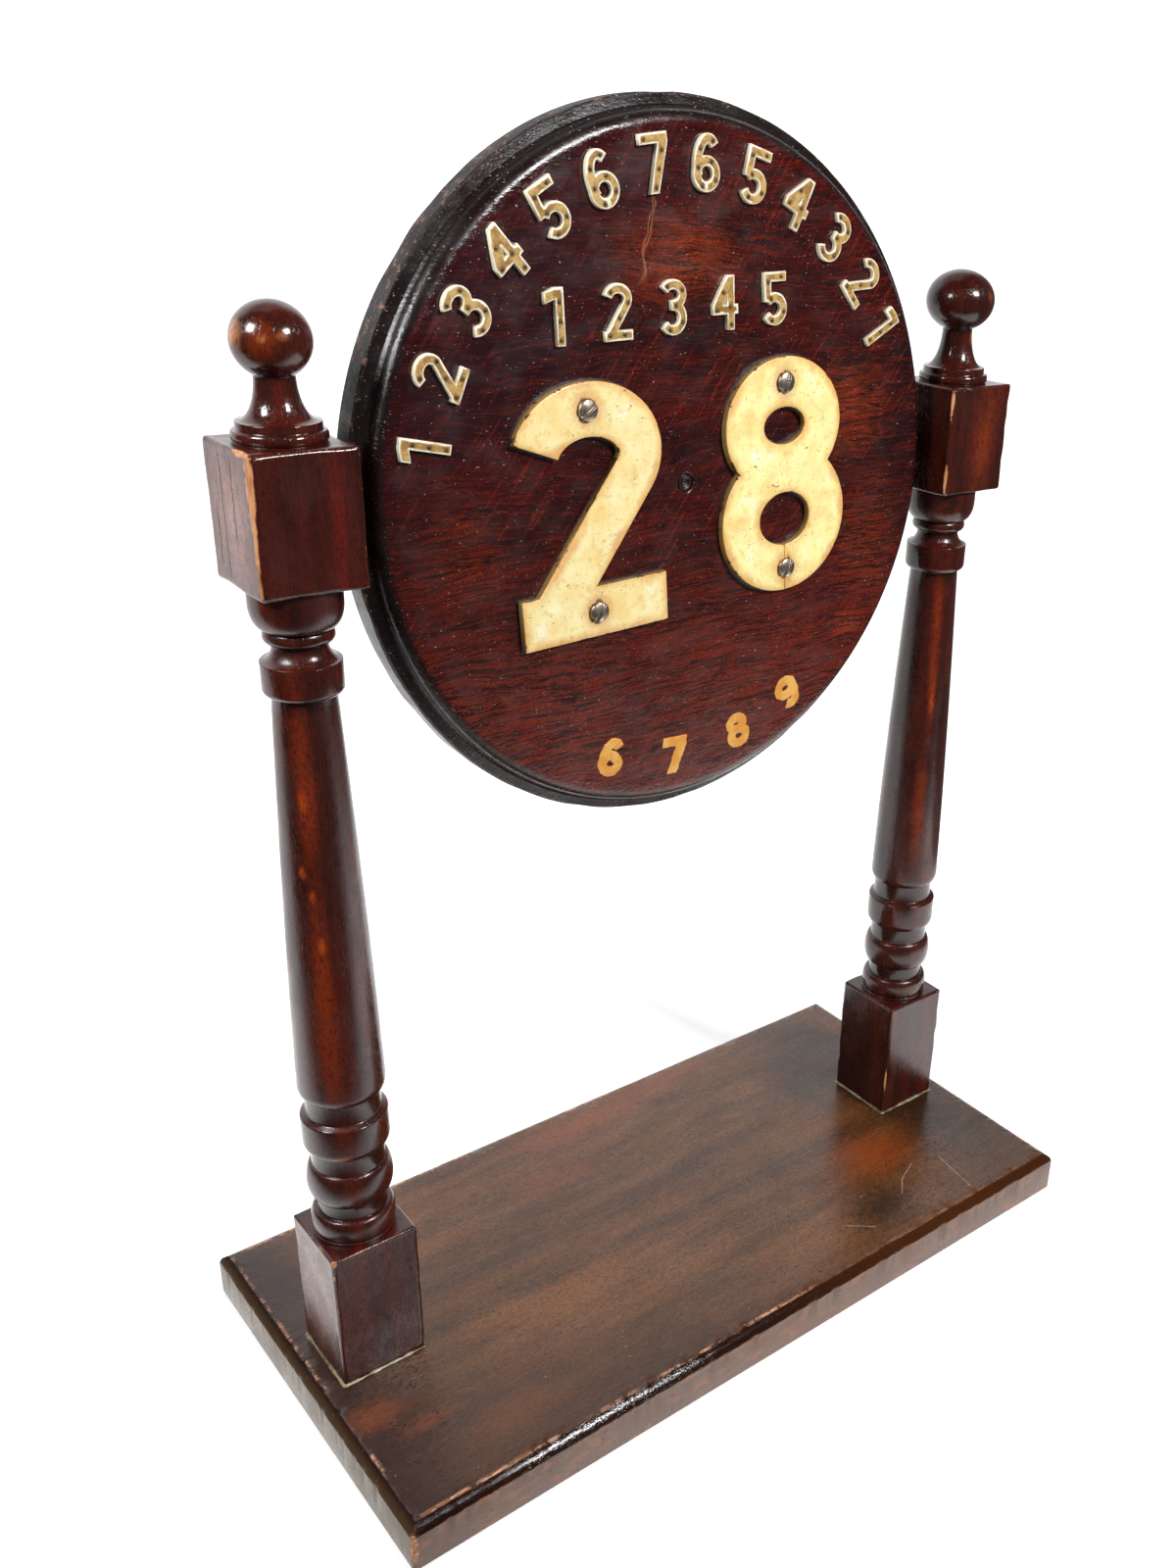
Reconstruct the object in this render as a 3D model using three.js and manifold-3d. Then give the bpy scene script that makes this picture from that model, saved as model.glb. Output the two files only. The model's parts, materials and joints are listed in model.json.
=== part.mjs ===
// Rotating sign: a round oak board that turns on two side pins between a pair of turned posts,
// which stand on a chamfered base board. Millimetres, +Z up, the lettered side faces -Y.
import * as THREE from "three";
import { mergeVertices, toCreasedNormals } from "three/addons/utils/BufferGeometryUtils.js";
import Module from "manifold-3d";

const wasm = await Module();
wasm.setup();

// Fits and cuts shared by every piece
const CLEARANCE = 0.3;
const SEAT_GAP = 0.2;
const OVERRUN = 2;
const HALF_TURN = Math.PI;
const QUARTER_TURN = HALF_TURN / 2;
const DEGREE = HALF_TURN / 180;
const CREASE_ANGLE = 32 * DEGREE;

// Base board
const BASE_END_MARGIN = 12;
const BASE_DEPTH = 192;
const BASE_THICKNESS = 22.2;
const BASE_CHAMFER_RUN = 4.5;
const BASE_CHAMFER_DROP = 4;

// Round board. Its diameter follows from what it carries and is worked out below.
const DISC_THICKNESS = 19;
const DISC_EDGE_WIDTH = 10.5;
const DISC_BACK_EASE = 1;
const DISC_RIM_WIDTH = 4.4;
const DISC_RIM_DROP = 1.8;
const DISC_FIELD_ROUND = 5;
const DISC_FIELD_SLOPE_RUN = 1;
const DISC_SEGMENTS = 72;
const DISC_TO_BLOCK_GAP = 2;

// Blocks of the posts
const BLOCK_WIDTH = 38.1;
const LOWER_BLOCK_HEIGHT = 67.2;
const UPPER_BLOCK_HEIGHT = 47.9;
const POST_SET_BACK = 4.8;
const POST_SEGMENTS = 24;

// Turned part of the posts, from the lower block upwards: diameters and heights
const FOOT_RING_DIAMETER = 33.8;
const FOOT_RING_HEIGHT = 1.6;
const FOOT_TORUS_DIAMETER = 34.4;
const FOOT_TORUS_NECK = 29.8;
const FOOT_TORUS_HEIGHT = 10;
const FOOT_FILLET_DIAMETER = 28.2;
const FOOT_FILLET_HEIGHT = 6.6;
const BEAD_DIAMETER = 34.8;
const BEAD_NECK = 28.4;
const BEAD_HEIGHT = 16.2;
const LOW_NECK_DIAMETER = 29.6;
const LOW_NECK_HEIGHT = 8.2;
const LOW_COLLAR_DIAMETER = 34.8;
const LOW_COLLAR_HEIGHT = 15.8;
const LOW_COLLAR_ROUND = 4.2;
const LOW_COLLAR_SHOULDER = 1.4;
const MID_NECK_DIAMETER = 30;
const MID_NECK_HEIGHT = 9;
const COLUMN_FOOT_DIAMETER = 34.6;
const COLUMN_FOOT_ROUND = 4.6;
const COLUMN_TOP_DIAMETER = 22.8;
const COLUMN_BELLY = 1;
const COLUMN_LENGTH = 168.6;
const HIGH_COLLAR_DIAMETER = 28.4;
const HIGH_COLLAR_HEIGHT = 12.4;
const HIGH_COLLAR_ROUND = 2.6;
const HIGH_COVE_DIAMETER = 19.2;
const HIGH_COVE_HEIGHT = 6.4;
const SMALL_RING_DIAMETER = 24.8;
const SMALL_RING_HEIGHT = 5.2;
const CUP_NECK_DIAMETER = 22.6;
const CUP_DIAMETER = 32.2;
const CUP_HEIGHT = 15.4;
const CUP_WIDEST_SHARE = 0.58;

// Finials
const FINIAL_RING_DIAMETER = 31.3;
const FINIAL_RING_HEIGHT = 3.6;
const FINIAL_STEP_DIAMETER = 27.8;
const FINIAL_STEP_HEIGHT = 2.8;
const FINIAL_FLARE_DIAMETER = 26.4;
const FINIAL_NECK_DIAMETER = 13.4;
// The two balls were turned by eye: both are a little flat, and the right one is larger
const LEFT_FLARE_HEIGHT = 14.2;
const LEFT_BALL_DIAMETER = 26.2;
const LEFT_BALL_HEIGHT = 24.8;
const RIGHT_FLARE_HEIGHT = 16.4;
const RIGHT_BALL_DIAMETER = 30.8;
const RIGHT_BALL_HEIGHT = 26.4;
const SPIGOT_DIAMETER = 10;
const SPIGOT_LENGTH = 14;

// Joint of post and base
const TENON_DIAMETER = 22;
const TENON_LENGTH = 11;
const POST_SCREW_DIAMETER = 4.6;
const POST_SCREW_HEAD_DIAMETER = 9;
const POST_SCREW_HEAD_HEIGHT = 2.8;
const POST_SCREW_RIM = 0.6;
const POST_SCREW_LENGTH = 38;
const POST_SCREW_SINK = 0.6;

// Pivots of the round board
const PIVOT_DROP = 4.9;
const PIVOT_BACK = 2.5;
const PIN_DIAMETER = 4;
const PIN_IN_BLOCK = 14;
const PIN_IN_DISC = 16;
const PIN_CHAMFER = 0.5;
const WASHER_DIAMETER = 12;
const REST_TILT_ANGLE = 1.8 * DEGREE;
const HOLE_SEGMENTS = 16;

// Plug in the middle of the round board
const PLUG_DIAMETER = 6.6;
const PLUG_DEPTH = 6;
const PLUG_DISH = 0.7;
const PLUG_LIP = 0.9;

// Large figures and their screws
const LARGE_HEIGHT = 96.5;
const LARGE_WIDTH = 67;
const LARGE_STROKE = 20;
const LARGE_THICKNESS = 3;
const LARGE_GAP = 29;
const LARGE_SHIFT = 1.4;
const LARGE_DROP = 4.2;
const LARGE_LEAN_ANGLE = 2.5 * DEGREE;
const LARGE_STEPS = 12;
const FIGURE_SCREW_DIAMETER = 3.6;
const FIGURE_SCREW_HEAD_DIAMETER = 8.2;
const FIGURE_SCREW_HEAD_HEIGHT = 2.2;
const FIGURE_SCREW_LENGTH = 13;
const SLOT_WIDTH = 1.1;
const SLOT_DEPTH = 0.9;

// Small figures of the row and of the arc
const SMALL_HEIGHT = 20;
const SMALL_WIDTH = 12.5;
const SMALL_STROKE = 3.6;
const SMALL_THICKNESS = 1.8;
const SMALL_STEPS = 6;
const ROW_GAP = 12;
const ROW_PITCH = 25;
const ROW_SHIFT = -7.6;
const ROW_LEAN_ANGLE = 2 * DEGREE;
const ARC_GAP = 6.7;
const ARC_MARGIN = 12.9;
const ARC_START_ANGLE = 168 * DEGREE;
const ARC_STEP_ANGLE = 11.7 * DEGREE;

// The plain figures shown: the arc climbs to its middle and comes down again
const ARC_FIGURES = "1234567654321";
const ROW_FIGURES = "12345";
const LARGE_FIGURES = "28";

// Layout of the round board, from its middle outwards: the row stands clear above the large figures,
// the arc goes round both, and the board's edge lies outside the arc
const LARGE_SPREAD = LARGE_WIDTH + LARGE_GAP;
const LARGE_HALF_LENGTH = (LARGE_SPREAD + LARGE_WIDTH) / 2;
const LARGE_REACH = Math.hypot(LARGE_HALF_LENGTH + LARGE_SHIFT, LARGE_HEIGHT / 2 + LARGE_DROP);
const ROW_HEIGHT = LARGE_HEIGHT / 2 - LARGE_DROP + ROW_GAP + SMALL_HEIGHT / 2;
const ROW_HALF_LENGTH = (ROW_PITCH * (ROW_FIGURES.length - 1) + SMALL_WIDTH) / 2;
const ROW_REACH = Math.hypot(ROW_HALF_LENGTH - ROW_SHIFT, ROW_HEIGHT + SMALL_HEIGHT / 2);
const ARC_RADIUS = Math.max(LARGE_REACH, ROW_REACH) + ARC_GAP + SMALL_HEIGHT / 2;
const DISC_DIAMETER = (ARC_RADIUS + SMALL_HEIGHT / 2 + ARC_MARGIN) * 2;

// Places that follow from the sizes above
const POST_OFFSET = DISC_DIAMETER / 2 + DISC_TO_BLOCK_GAP + BLOCK_WIDTH / 2;
const BASE_LENGTH = (POST_OFFSET + BLOCK_WIDTH / 2 + BASE_END_MARGIN) * 2;
const LOWER_BLOCK_TOP = BASE_THICKNESS + SEAT_GAP + LOWER_BLOCK_HEIGHT;

function material(name, color, roughness, metalness) {
  const made = new THREE.MeshStandardMaterial({ color, roughness, metalness });
  made.name = name;
  return made;
}

const discOak = material("disc_oak", 0x44160f, 0.34, 0);
const postWood = material("post_wood", 0x3d130d, 0.3, 0);
const baseWood = material("base_wood", 0x553629, 0.42, 0);
const creamEnamel = material("cream_enamel", 0xe9dba6, 0.35, 0);
const creamBrass = material("cream_brass", 0xdac88f, 0.4, 0.3);
const screwSteel = material("screw_steel", 0x8d8981, 0.4, 1);
const darkSteel = material("dark_steel", 0x4d4a46, 0.5, 1);
const plugWood = material("plug_wood", 0x1d0b08, 0.5, 0);

// Solids: closed meshes in and out of the boolean library

function toSolid(geometry) {
  const bare = geometry.index ? geometry.toNonIndexed() : geometry.clone();
  for (const name of Object.keys(bare.attributes)) {
    if (name !== "position") bare.deleteAttribute(name);
  }
  const merged = mergeVertices(bare, mergeDistance(bare));
  const index = merged.index.array;
  const kept = [];
  for (let i = 0; i < index.length; i += 3) {
    const [a, b, c] = [index[i], index[i + 1], index[i + 2]];
    if (a !== b && b !== c && c !== a) kept.push(a, b, c);
  }
  const vertProperties = new Float32Array(merged.attributes.position.array);
  const build = (triVerts) => new wasm.Manifold(new wasm.Mesh({ numProp: 3, vertProperties, triVerts }));
  const solid = build(new Uint32Array(kept));
  if (solid.volume() > 0) return solid;
  return build(new Uint32Array(kept.reverse()));
}

// Points closer together than this share of the piece's size are one point
function mergeDistance(geometry) {
  const mergeShare = 1e-6;
  geometry.computeBoundingSphere();
  return geometry.boundingSphere.radius * mergeShare;
}

function toGeometry(solid) {
  const mesh = solid.getMesh();
  const geometry = new THREE.BufferGeometry();
  geometry.setAttribute("position", new THREE.BufferAttribute(new Float32Array(mesh.vertProperties), 3));
  geometry.setIndex(new THREE.BufferAttribute(new Uint32Array(mesh.triVerts), 1));
  return toCreasedNormals(geometry, CREASE_ANGLE);
}

function union(solids) {
  return solids.reduce((sum, solid) => sum.add(solid));
}

function cut(body, tools) {
  return tools.reduce((left, tool) => left.subtract(tool), body);
}

// Basic forms, standing on z = 0 and centred on the Z axis

function block(width, depth, height) {
  const geometry = new THREE.BoxGeometry(width, depth, height);
  geometry.translate(0, 0, height / 2);
  return geometry;
}

function rod(diameter, length, segments = HOLE_SEGMENTS) {
  const geometry = new THREE.CylinderGeometry(diameter / 2, diameter / 2, length, segments);
  geometry.rotateX(QUARTER_TURN);
  geometry.translate(0, 0, length / 2);
  return geometry;
}

function turned(outline, segments) {
  const points = outline.map(([radius, height]) => new THREE.Vector2(radius, height));
  const geometry = new THREE.LatheGeometry(points, segments);
  geometry.rotateX(QUARTER_TURN);
  return geometry;
}

// Turning tools: each adds points to an outline of [radius, height] pairs, from its last point upwards

// A swelling that is widest at the middle of its rise
const EVEN_SHARE = 0.5;

function step(outline, diameter, rise) {
  const height = outline.at(-1)[1];
  outline.push([diameter / 2, height], [diameter / 2, height + rise]);
}

function slope(outline, diameter, rise) {
  outline.push([diameter / 2, outline.at(-1)[1] + rise]);
}

// A rounded swelling from one neck to the next, widest at the given share of its rise
function swelling(outline, fromDiameter, widest, toDiameter, rise, widestShare = EVEN_SHARE, steps = 6) {
  const start = outline.at(-1)[1];
  for (let i = 0; i <= steps; i += 1) {
    const angle = (i / steps) * HALF_TURN - QUARTER_TURN;
    const end = angle < 0 ? fromDiameter : toDiameter;
    const reach = angle < 0 ? widestShare : 1 - widestShare;
    const radius = (end + (widest - end) * Math.cos(angle)) / 2;
    outline.push([radius, start + rise * (widestShare + reach * Math.sin(angle))]);
  }
}

// A quarter round that comes out of a neck at its foot and ends upright
function roundOut(outline, fromDiameter, toDiameter, rise, steps = 3) {
  const start = outline.at(-1)[1];
  for (let i = 0; i <= steps; i += 1) {
    const angle = (i / steps) * QUARTER_TURN;
    const radius = (fromDiameter + (toDiameter - fromDiameter) * Math.sin(angle)) / 2;
    outline.push([radius, start + rise * (1 - Math.cos(angle))]);
  }
}

// A hollow curve from a wide foot to a narrow top
function cove(outline, fromDiameter, toDiameter, rise, steps = 4) {
  const start = outline.at(-1)[1];
  for (let i = 0; i <= steps; i += 1) {
    const angle = (i / steps) * QUARTER_TURN;
    const radius = (toDiameter + (fromDiameter - toDiameter) * (1 - Math.sin(angle))) / 2;
    outline.push([radius, start + rise * (1 - Math.cos(angle))]);
  }
}

function withoutRepeats(outline) {
  return outline.filter((point, i) => i === 0 || point.some((value, k) => value !== outline[i - 1][k]));
}

// Posts

function turningOutline() {
  const outline = [[0, -OVERRUN], [FOOT_RING_DIAMETER / 2, -OVERRUN]];
  slope(outline, FOOT_RING_DIAMETER, OVERRUN + FOOT_RING_HEIGHT);
  const torusFoot = FOOT_RING_DIAMETER - FOOT_RING_HEIGHT;
  swelling(outline, torusFoot, FOOT_TORUS_DIAMETER, FOOT_TORUS_NECK, FOOT_TORUS_HEIGHT);
  step(outline, FOOT_FILLET_DIAMETER, FOOT_FILLET_HEIGHT);
  swelling(outline, BEAD_NECK, BEAD_DIAMETER, LOW_NECK_DIAMETER, BEAD_HEIGHT);
  step(outline, LOW_NECK_DIAMETER, LOW_NECK_HEIGHT);
  roundOut(outline, LOW_NECK_DIAMETER, LOW_COLLAR_DIAMETER, LOW_COLLAR_ROUND);
  slope(outline, LOW_COLLAR_DIAMETER, LOW_COLLAR_HEIGHT - LOW_COLLAR_ROUND);
  slope(outline, MID_NECK_DIAMETER, LOW_COLLAR_SHOULDER);
  slope(outline, MID_NECK_DIAMETER, MID_NECK_HEIGHT);
  roundOut(outline, MID_NECK_DIAMETER, COLUMN_FOOT_DIAMETER, COLUMN_FOOT_ROUND);
  column(outline);
  roundOut(outline, COLUMN_TOP_DIAMETER, HIGH_COLLAR_DIAMETER, HIGH_COLLAR_ROUND);
  slope(outline, HIGH_COLLAR_DIAMETER, HIGH_COLLAR_HEIGHT - HIGH_COLLAR_ROUND);
  cove(outline, HIGH_COLLAR_DIAMETER, HIGH_COVE_DIAMETER, HIGH_COVE_HEIGHT);
  swelling(outline, HIGH_COVE_DIAMETER, SMALL_RING_DIAMETER, CUP_NECK_DIAMETER, SMALL_RING_HEIGHT);
  swelling(outline, CUP_NECK_DIAMETER, CUP_DIAMETER, CUP_DIAMETER, CUP_HEIGHT, CUP_WIDEST_SHARE);
  const top = outline.at(-1)[1];
  outline.push([outline.at(-1)[0], top + OVERRUN], [0, top + OVERRUN]);
  return { outline: withoutRepeats(outline), height: top };
}

// The shaft tapers upwards with a slight belly
function column(outline, steps = 5) {
  const start = outline.at(-1)[1];
  const length = COLUMN_LENGTH - COLUMN_FOOT_ROUND;
  for (let i = 1; i <= steps; i += 1) {
    const share = i / steps;
    const straight = COLUMN_FOOT_DIAMETER + (COLUMN_TOP_DIAMETER - COLUMN_FOOT_DIAMETER) * share;
    const belly = COLUMN_BELLY * Math.sin(share * HALF_TURN);
    outline.push([(straight + belly) / 2, start + length * share]);
  }
}

const turning = turningOutline();
const UPPER_BLOCK_FOOT = LOWER_BLOCK_TOP + turning.height;
const UPPER_BLOCK_TOP = UPPER_BLOCK_FOOT + UPPER_BLOCK_HEIGHT;
const PIVOT_HEIGHT = UPPER_BLOCK_FOOT + UPPER_BLOCK_HEIGHT / 2 - PIVOT_DROP;

// A hole along X that enters the block from the side of the round board
function pivotSocket(side) {
  const hole = rod(PIN_DIAMETER + CLEARANCE * 2, PIN_IN_BLOCK + CLEARANCE + OVERRUN);
  hole.rotateY(side * QUARTER_TURN);
  hole.translate(-side * (BLOCK_WIDTH / 2 + OVERRUN), PIVOT_BACK, PIVOT_HEIGHT);
  return toSolid(hole);
}

function post(side) {
  const lower = block(BLOCK_WIDTH, BLOCK_WIDTH, LOWER_BLOCK_HEIGHT);
  lower.translate(0, 0, LOWER_BLOCK_TOP - LOWER_BLOCK_HEIGHT);
  const upper = block(BLOCK_WIDTH, BLOCK_WIDTH, UPPER_BLOCK_HEIGHT);
  upper.translate(0, 0, UPPER_BLOCK_FOOT);
  const turnedPart = turned(turning.outline, POST_SEGMENTS);
  turnedPart.translate(0, 0, LOWER_BLOCK_TOP);
  const tenon = rod(TENON_DIAMETER, TENON_LENGTH + OVERRUN, POST_SEGMENTS);
  tenon.translate(0, 0, BASE_THICKNESS + SEAT_GAP - TENON_LENGTH);
  const pilot = rod(POST_SCREW_DIAMETER + CLEARANCE * 2, POST_SCREW_LENGTH + OVERRUN);
  const spigotHole = rod(SPIGOT_DIAMETER + CLEARANCE * 2, SPIGOT_LENGTH + CLEARANCE + OVERRUN);
  spigotHole.translate(0, 0, UPPER_BLOCK_TOP - SPIGOT_LENGTH - CLEARANCE);
  const body = union([lower, upper, turnedPart, tenon].map(toSolid));
  return toGeometry(cut(body, [toSolid(pilot), toSolid(spigotHole), pivotSocket(side)]));
}

// Finials, modelled on z = 0 at the top of the block

function finial(flareHeight, ballDiameter, ballHeight) {
  const outline = [[0, -SPIGOT_LENGTH], [SPIGOT_DIAMETER / 2, -SPIGOT_LENGTH]];
  slope(outline, SPIGOT_DIAMETER, SPIGOT_LENGTH + SEAT_GAP);
  swelling(outline, FINIAL_RING_DIAMETER - FINIAL_RING_HEIGHT / 2, FINIAL_RING_DIAMETER,
    FINIAL_RING_DIAMETER - FINIAL_RING_HEIGHT / 2, FINIAL_RING_HEIGHT, EVEN_SHARE, 4);
  step(outline, FINIAL_STEP_DIAMETER, FINIAL_STEP_HEIGHT);
  cove(outline, FINIAL_FLARE_DIAMETER, FINIAL_NECK_DIAMETER, flareHeight, 5);
  const startAngle = -Math.acos(FINIAL_NECK_DIAMETER / ballDiameter);
  const centre = outline.at(-1)[1] - (ballHeight / 2) * Math.sin(startAngle);
  const steps = 8;
  for (let i = 1; i < steps; i += 1) {
    const angle = startAngle + (QUARTER_TURN - startAngle) * (i / steps);
    outline.push([(ballDiameter / 2) * Math.cos(angle), centre + (ballHeight / 2) * Math.sin(angle)]);
  }
  outline.push([0, centre + ballHeight / 2]);
  return toGeometry(toSolid(turned(withoutRepeats(outline), POST_SEGMENTS)));
}

// Base board with a chamfer round its top, sockets for the tenons and countersunk screw holes
function baseBoard() {
  const reach = new THREE.Vector2(BASE_LENGTH / 2 - BASE_CHAMFER_RUN, BASE_DEPTH / 2 - BASE_CHAMFER_RUN);
  const shape = new THREE.Shape();
  shape.moveTo(-reach.x, -reach.y);
  shape.lineTo(reach.x, -reach.y);
  shape.lineTo(reach.x, reach.y);
  shape.lineTo(-reach.x, reach.y);
  shape.closePath();
  const topSlab = new THREE.ExtrudeGeometry(shape, {
    depth: BASE_CHAMFER_DROP / 2,
    bevelThickness: BASE_CHAMFER_DROP,
    bevelSize: BASE_CHAMFER_RUN,
    bevelSegments: 1,
  });
  topSlab.translate(0, 0, BASE_THICKNESS - BASE_CHAMFER_DROP - BASE_CHAMFER_DROP / 2);
  const board = toSolid(block(BASE_LENGTH, BASE_DEPTH, BASE_THICKNESS - BASE_CHAMFER_DROP));
  const tools = [];
  for (const side of [-1, 1]) {
    const socket = rod(TENON_DIAMETER + CLEARANCE * 2, TENON_LENGTH + OVERRUN, POST_SEGMENTS);
    socket.translate(side * POST_OFFSET, POST_SET_BACK, BASE_THICKNESS - TENON_LENGTH - CLEARANCE);
    const hole = rod(POST_SCREW_DIAMETER + CLEARANCE * 2, BASE_THICKNESS + OVERRUN);
    hole.translate(side * POST_OFFSET, POST_SET_BACK, -OVERRUN);
    const wide = POST_SCREW_HEAD_DIAMETER / 2 + CLEARANCE * 2;
    const narrow = POST_SCREW_DIAMETER / 2;
    const coneHeight = POST_SCREW_SINK + POST_SCREW_HEAD_HEIGHT + CLEARANCE;
    const sink = turned([[0, -OVERRUN], [wide, -OVERRUN], [wide, POST_SCREW_SINK + CLEARANCE],
      [narrow, coneHeight + CLEARANCE], [0, coneHeight + CLEARANCE]], HOLE_SEGMENTS);
    sink.translate(side * POST_OFFSET, POST_SET_BACK, 0);
    tools.push(toSolid(socket), toSolid(hole), toSolid(sink));
  }
  return toGeometry(cut(union([board, toSolid(topSlab)]), tools));
}

// Screws, modelled with the shank going up

function slot(headDiameter, top) {
  const bar = block(headDiameter + OVERRUN, SLOT_WIDTH, SLOT_DEPTH + OVERRUN);
  bar.translate(0, 0, top);
  return toSolid(bar);
}

// A countersunk screw, with its slotted face at z = 0 and its point at the top
function postScrew() {
  const radius = POST_SCREW_DIAMETER / 2;
  const headRadius = POST_SCREW_HEAD_DIAMETER / 2;
  const length = POST_SCREW_LENGTH - CLEARANCE - POST_SCREW_SINK;
  const outline = [[0, 0], [headRadius, 0], [headRadius, POST_SCREW_RIM], [radius, POST_SCREW_HEAD_HEIGHT],
    [radius, length - POST_SCREW_DIAMETER], [0, length]];
  const body = toSolid(turned(outline, HOLE_SEGMENTS));
  return toGeometry(cut(body, [slot(POST_SCREW_HEAD_DIAMETER, -OVERRUN)]));
}

// The head is a low dome below z = 0, which is the face that it clamps
function figureScrew() {
  const outline = [[0, -FIGURE_SCREW_HEAD_HEIGHT]];
  const steps = 4;
  for (let i = 1; i <= steps; i += 1) {
    const angle = (i / steps) * QUARTER_TURN;
    const radius = (FIGURE_SCREW_HEAD_DIAMETER / 2) * Math.sin(angle);
    outline.push([radius, -FIGURE_SCREW_HEAD_HEIGHT * Math.cos(angle)]);
  }
  outline.push([FIGURE_SCREW_DIAMETER / 2, 0]);
  outline.push([FIGURE_SCREW_DIAMETER / 2, FIGURE_SCREW_LENGTH - FIGURE_SCREW_DIAMETER]);
  outline.push([0, FIGURE_SCREW_LENGTH]);
  const body = toSolid(turned(outline, HOLE_SEGMENTS));
  const groove = slot(FIGURE_SCREW_HEAD_DIAMETER, -FIGURE_SCREW_HEAD_HEIGHT - OVERRUN);
  return toGeometry(cut(body, [groove]));
}

// Pins and washers of the pivots, modelled along Z

function pivotPin() {
  const length = PIN_IN_BLOCK + DISC_TO_BLOCK_GAP + PIN_IN_DISC;
  const radius = PIN_DIAMETER / 2;
  const outline = [[0, 0], [radius - PIN_CHAMFER, 0], [radius, PIN_CHAMFER],
    [radius, length - PIN_CHAMFER], [radius - PIN_CHAMFER, length], [0, length]];
  return toGeometry(toSolid(turned(outline, HOLE_SEGMENTS)));
}

function pivotWasher() {
  const ring = new THREE.Shape();
  ring.absarc(0, 0, WASHER_DIAMETER / 2, 0, HALF_TURN * 2, false);
  const hole = new THREE.Path();
  hole.absarc(0, 0, PIN_DIAMETER / 2 + CLEARANCE, 0, HALF_TURN * 2, true);
  ring.holes.push(hole);
  const thickness = DISC_TO_BLOCK_GAP - SEAT_GAP * 2;
  const settings = { depth: thickness, bevelEnabled: false, curveSegments: HOLE_SEGMENTS };
  return new THREE.ExtrudeGeometry(ring, settings);
}

// Round board, modelled on its back face with the moulded front upwards

// Where the screws of the large figures enter, filled in as those figures are placed
const frontScrewPlaces = [];

function discOutline() {
  const radius = DISC_DIAMETER / 2;
  const rimRadius = radius - DISC_RIM_WIDTH;
  const rimHeight = DISC_EDGE_WIDTH + DISC_RIM_DROP;
  const roundFoot = DISC_THICKNESS - DISC_FIELD_ROUND;
  const outline = [[0, 0], [radius - DISC_BACK_EASE, 0], [radius, DISC_BACK_EASE],
    [radius, DISC_EDGE_WIDTH], [rimRadius, rimHeight], [rimRadius - DISC_FIELD_SLOPE_RUN, roundFoot]];
  const steps = 4;
  for (let i = 1; i <= steps; i += 1) {
    const angle = (i / steps) * QUARTER_TURN;
    const inset = DISC_FIELD_SLOPE_RUN + DISC_FIELD_ROUND * (1 - Math.cos(angle));
    outline.push([rimRadius - inset, roundFoot + DISC_FIELD_ROUND * Math.sin(angle)]);
  }
  outline.push([0, DISC_THICKNESS]);
  return outline;
}

// A hole in the front of the round board at a place across and up from its middle
function frontHole(diameter, depth, across, up) {
  const hole = rod(diameter, depth + OVERRUN);
  hole.rotateX(QUARTER_TURN);
  hole.translate(across, depth - DISC_THICKNESS / 2, up);
  return toSolid(hole);
}

function signDisc() {
  const board = turned(discOutline(), DISC_SEGMENTS);
  board.rotateX(QUARTER_TURN);
  board.translate(0, DISC_THICKNESS / 2, 0);
  const tools = [frontHole(PLUG_DIAMETER + CLEARANCE * 2, PLUG_DEPTH + CLEARANCE, 0, 0)];
  for (const place of frontScrewPlaces) {
    const depth = FIGURE_SCREW_LENGTH - LARGE_THICKNESS;
    tools.push(frontHole(FIGURE_SCREW_DIAMETER + CLEARANCE * 2, depth, place.x, place.y));
  }
  for (const side of [-1, 1]) {
    const bore = rod(PIN_DIAMETER + CLEARANCE * 2, PIN_IN_DISC + CLEARANCE + OVERRUN);
    bore.rotateY(-side * QUARTER_TURN);
    bore.translate(side * (DISC_DIAMETER / 2 + OVERRUN), PIVOT_BACK, 0);
    tools.push(toSolid(bore));
  }
  return toGeometry(cut(toSolid(board), tools));
}

function centrePlug() {
  const radius = PLUG_DIAMETER / 2;
  const outline = [[0, 0], [radius, 0], [radius, PLUG_DEPTH], [radius - PLUG_LIP, PLUG_DEPTH],
    [radius - PLUG_LIP * 2, PLUG_DEPTH - PLUG_DISH], [0, PLUG_DEPTH - PLUG_DISH]];
  return toGeometry(toSolid(turned(outline, HOLE_SEGMENTS)));
}

// Plain figures. Each is drawn with a band of even width, standing in a box centred on the origin:
// x across, y up, and its thickness along z from 0.

function ellipse(middle, radii, from, to, steps) {
  const points = [];
  for (let i = 0; i <= steps; i += 1) {
    const angle = from + (to - from) * (i / steps);
    const point = new THREE.Vector2(radii.x * Math.cos(angle), radii.y * Math.sin(angle));
    points.push(point.add(middle));
  }
  return points;
}

// A band of the given width along an open line of points
function band(points, width) {
  const left = [];
  const right = [];
  points.forEach((point, i) => {
    const before = points[Math.max(i - 1, 0)];
    const after = points[Math.min(i + 1, points.length - 1)];
    const along = after.clone().sub(before).normalize();
    const side = new THREE.Vector2(-along.y, along.x).multiplyScalar(width / 2);
    left.push(point.clone().add(side));
    right.unshift(point.clone().sub(side));
  });
  return new THREE.Shape([...left, ...right]);
}

function drawnIn(radii, amount) {
  return new THREE.Vector2(radii.x - amount, radii.y - amount);
}

function closedEllipse(middle, radii, steps) {
  return ellipse(middle, radii, 0, HALF_TURN * 2, steps).slice(0, steps);
}

// A closed band between an outer ellipse and the same ellipse drawn in by the width
function loop(middle, radii, width, steps) {
  const shape = new THREE.Shape(closedEllipse(middle, radii, steps * 2));
  shape.holes.push(new THREE.Path(closedEllipse(middle, drawnIn(radii, width), steps * 2)));
  return shape;
}

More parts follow.
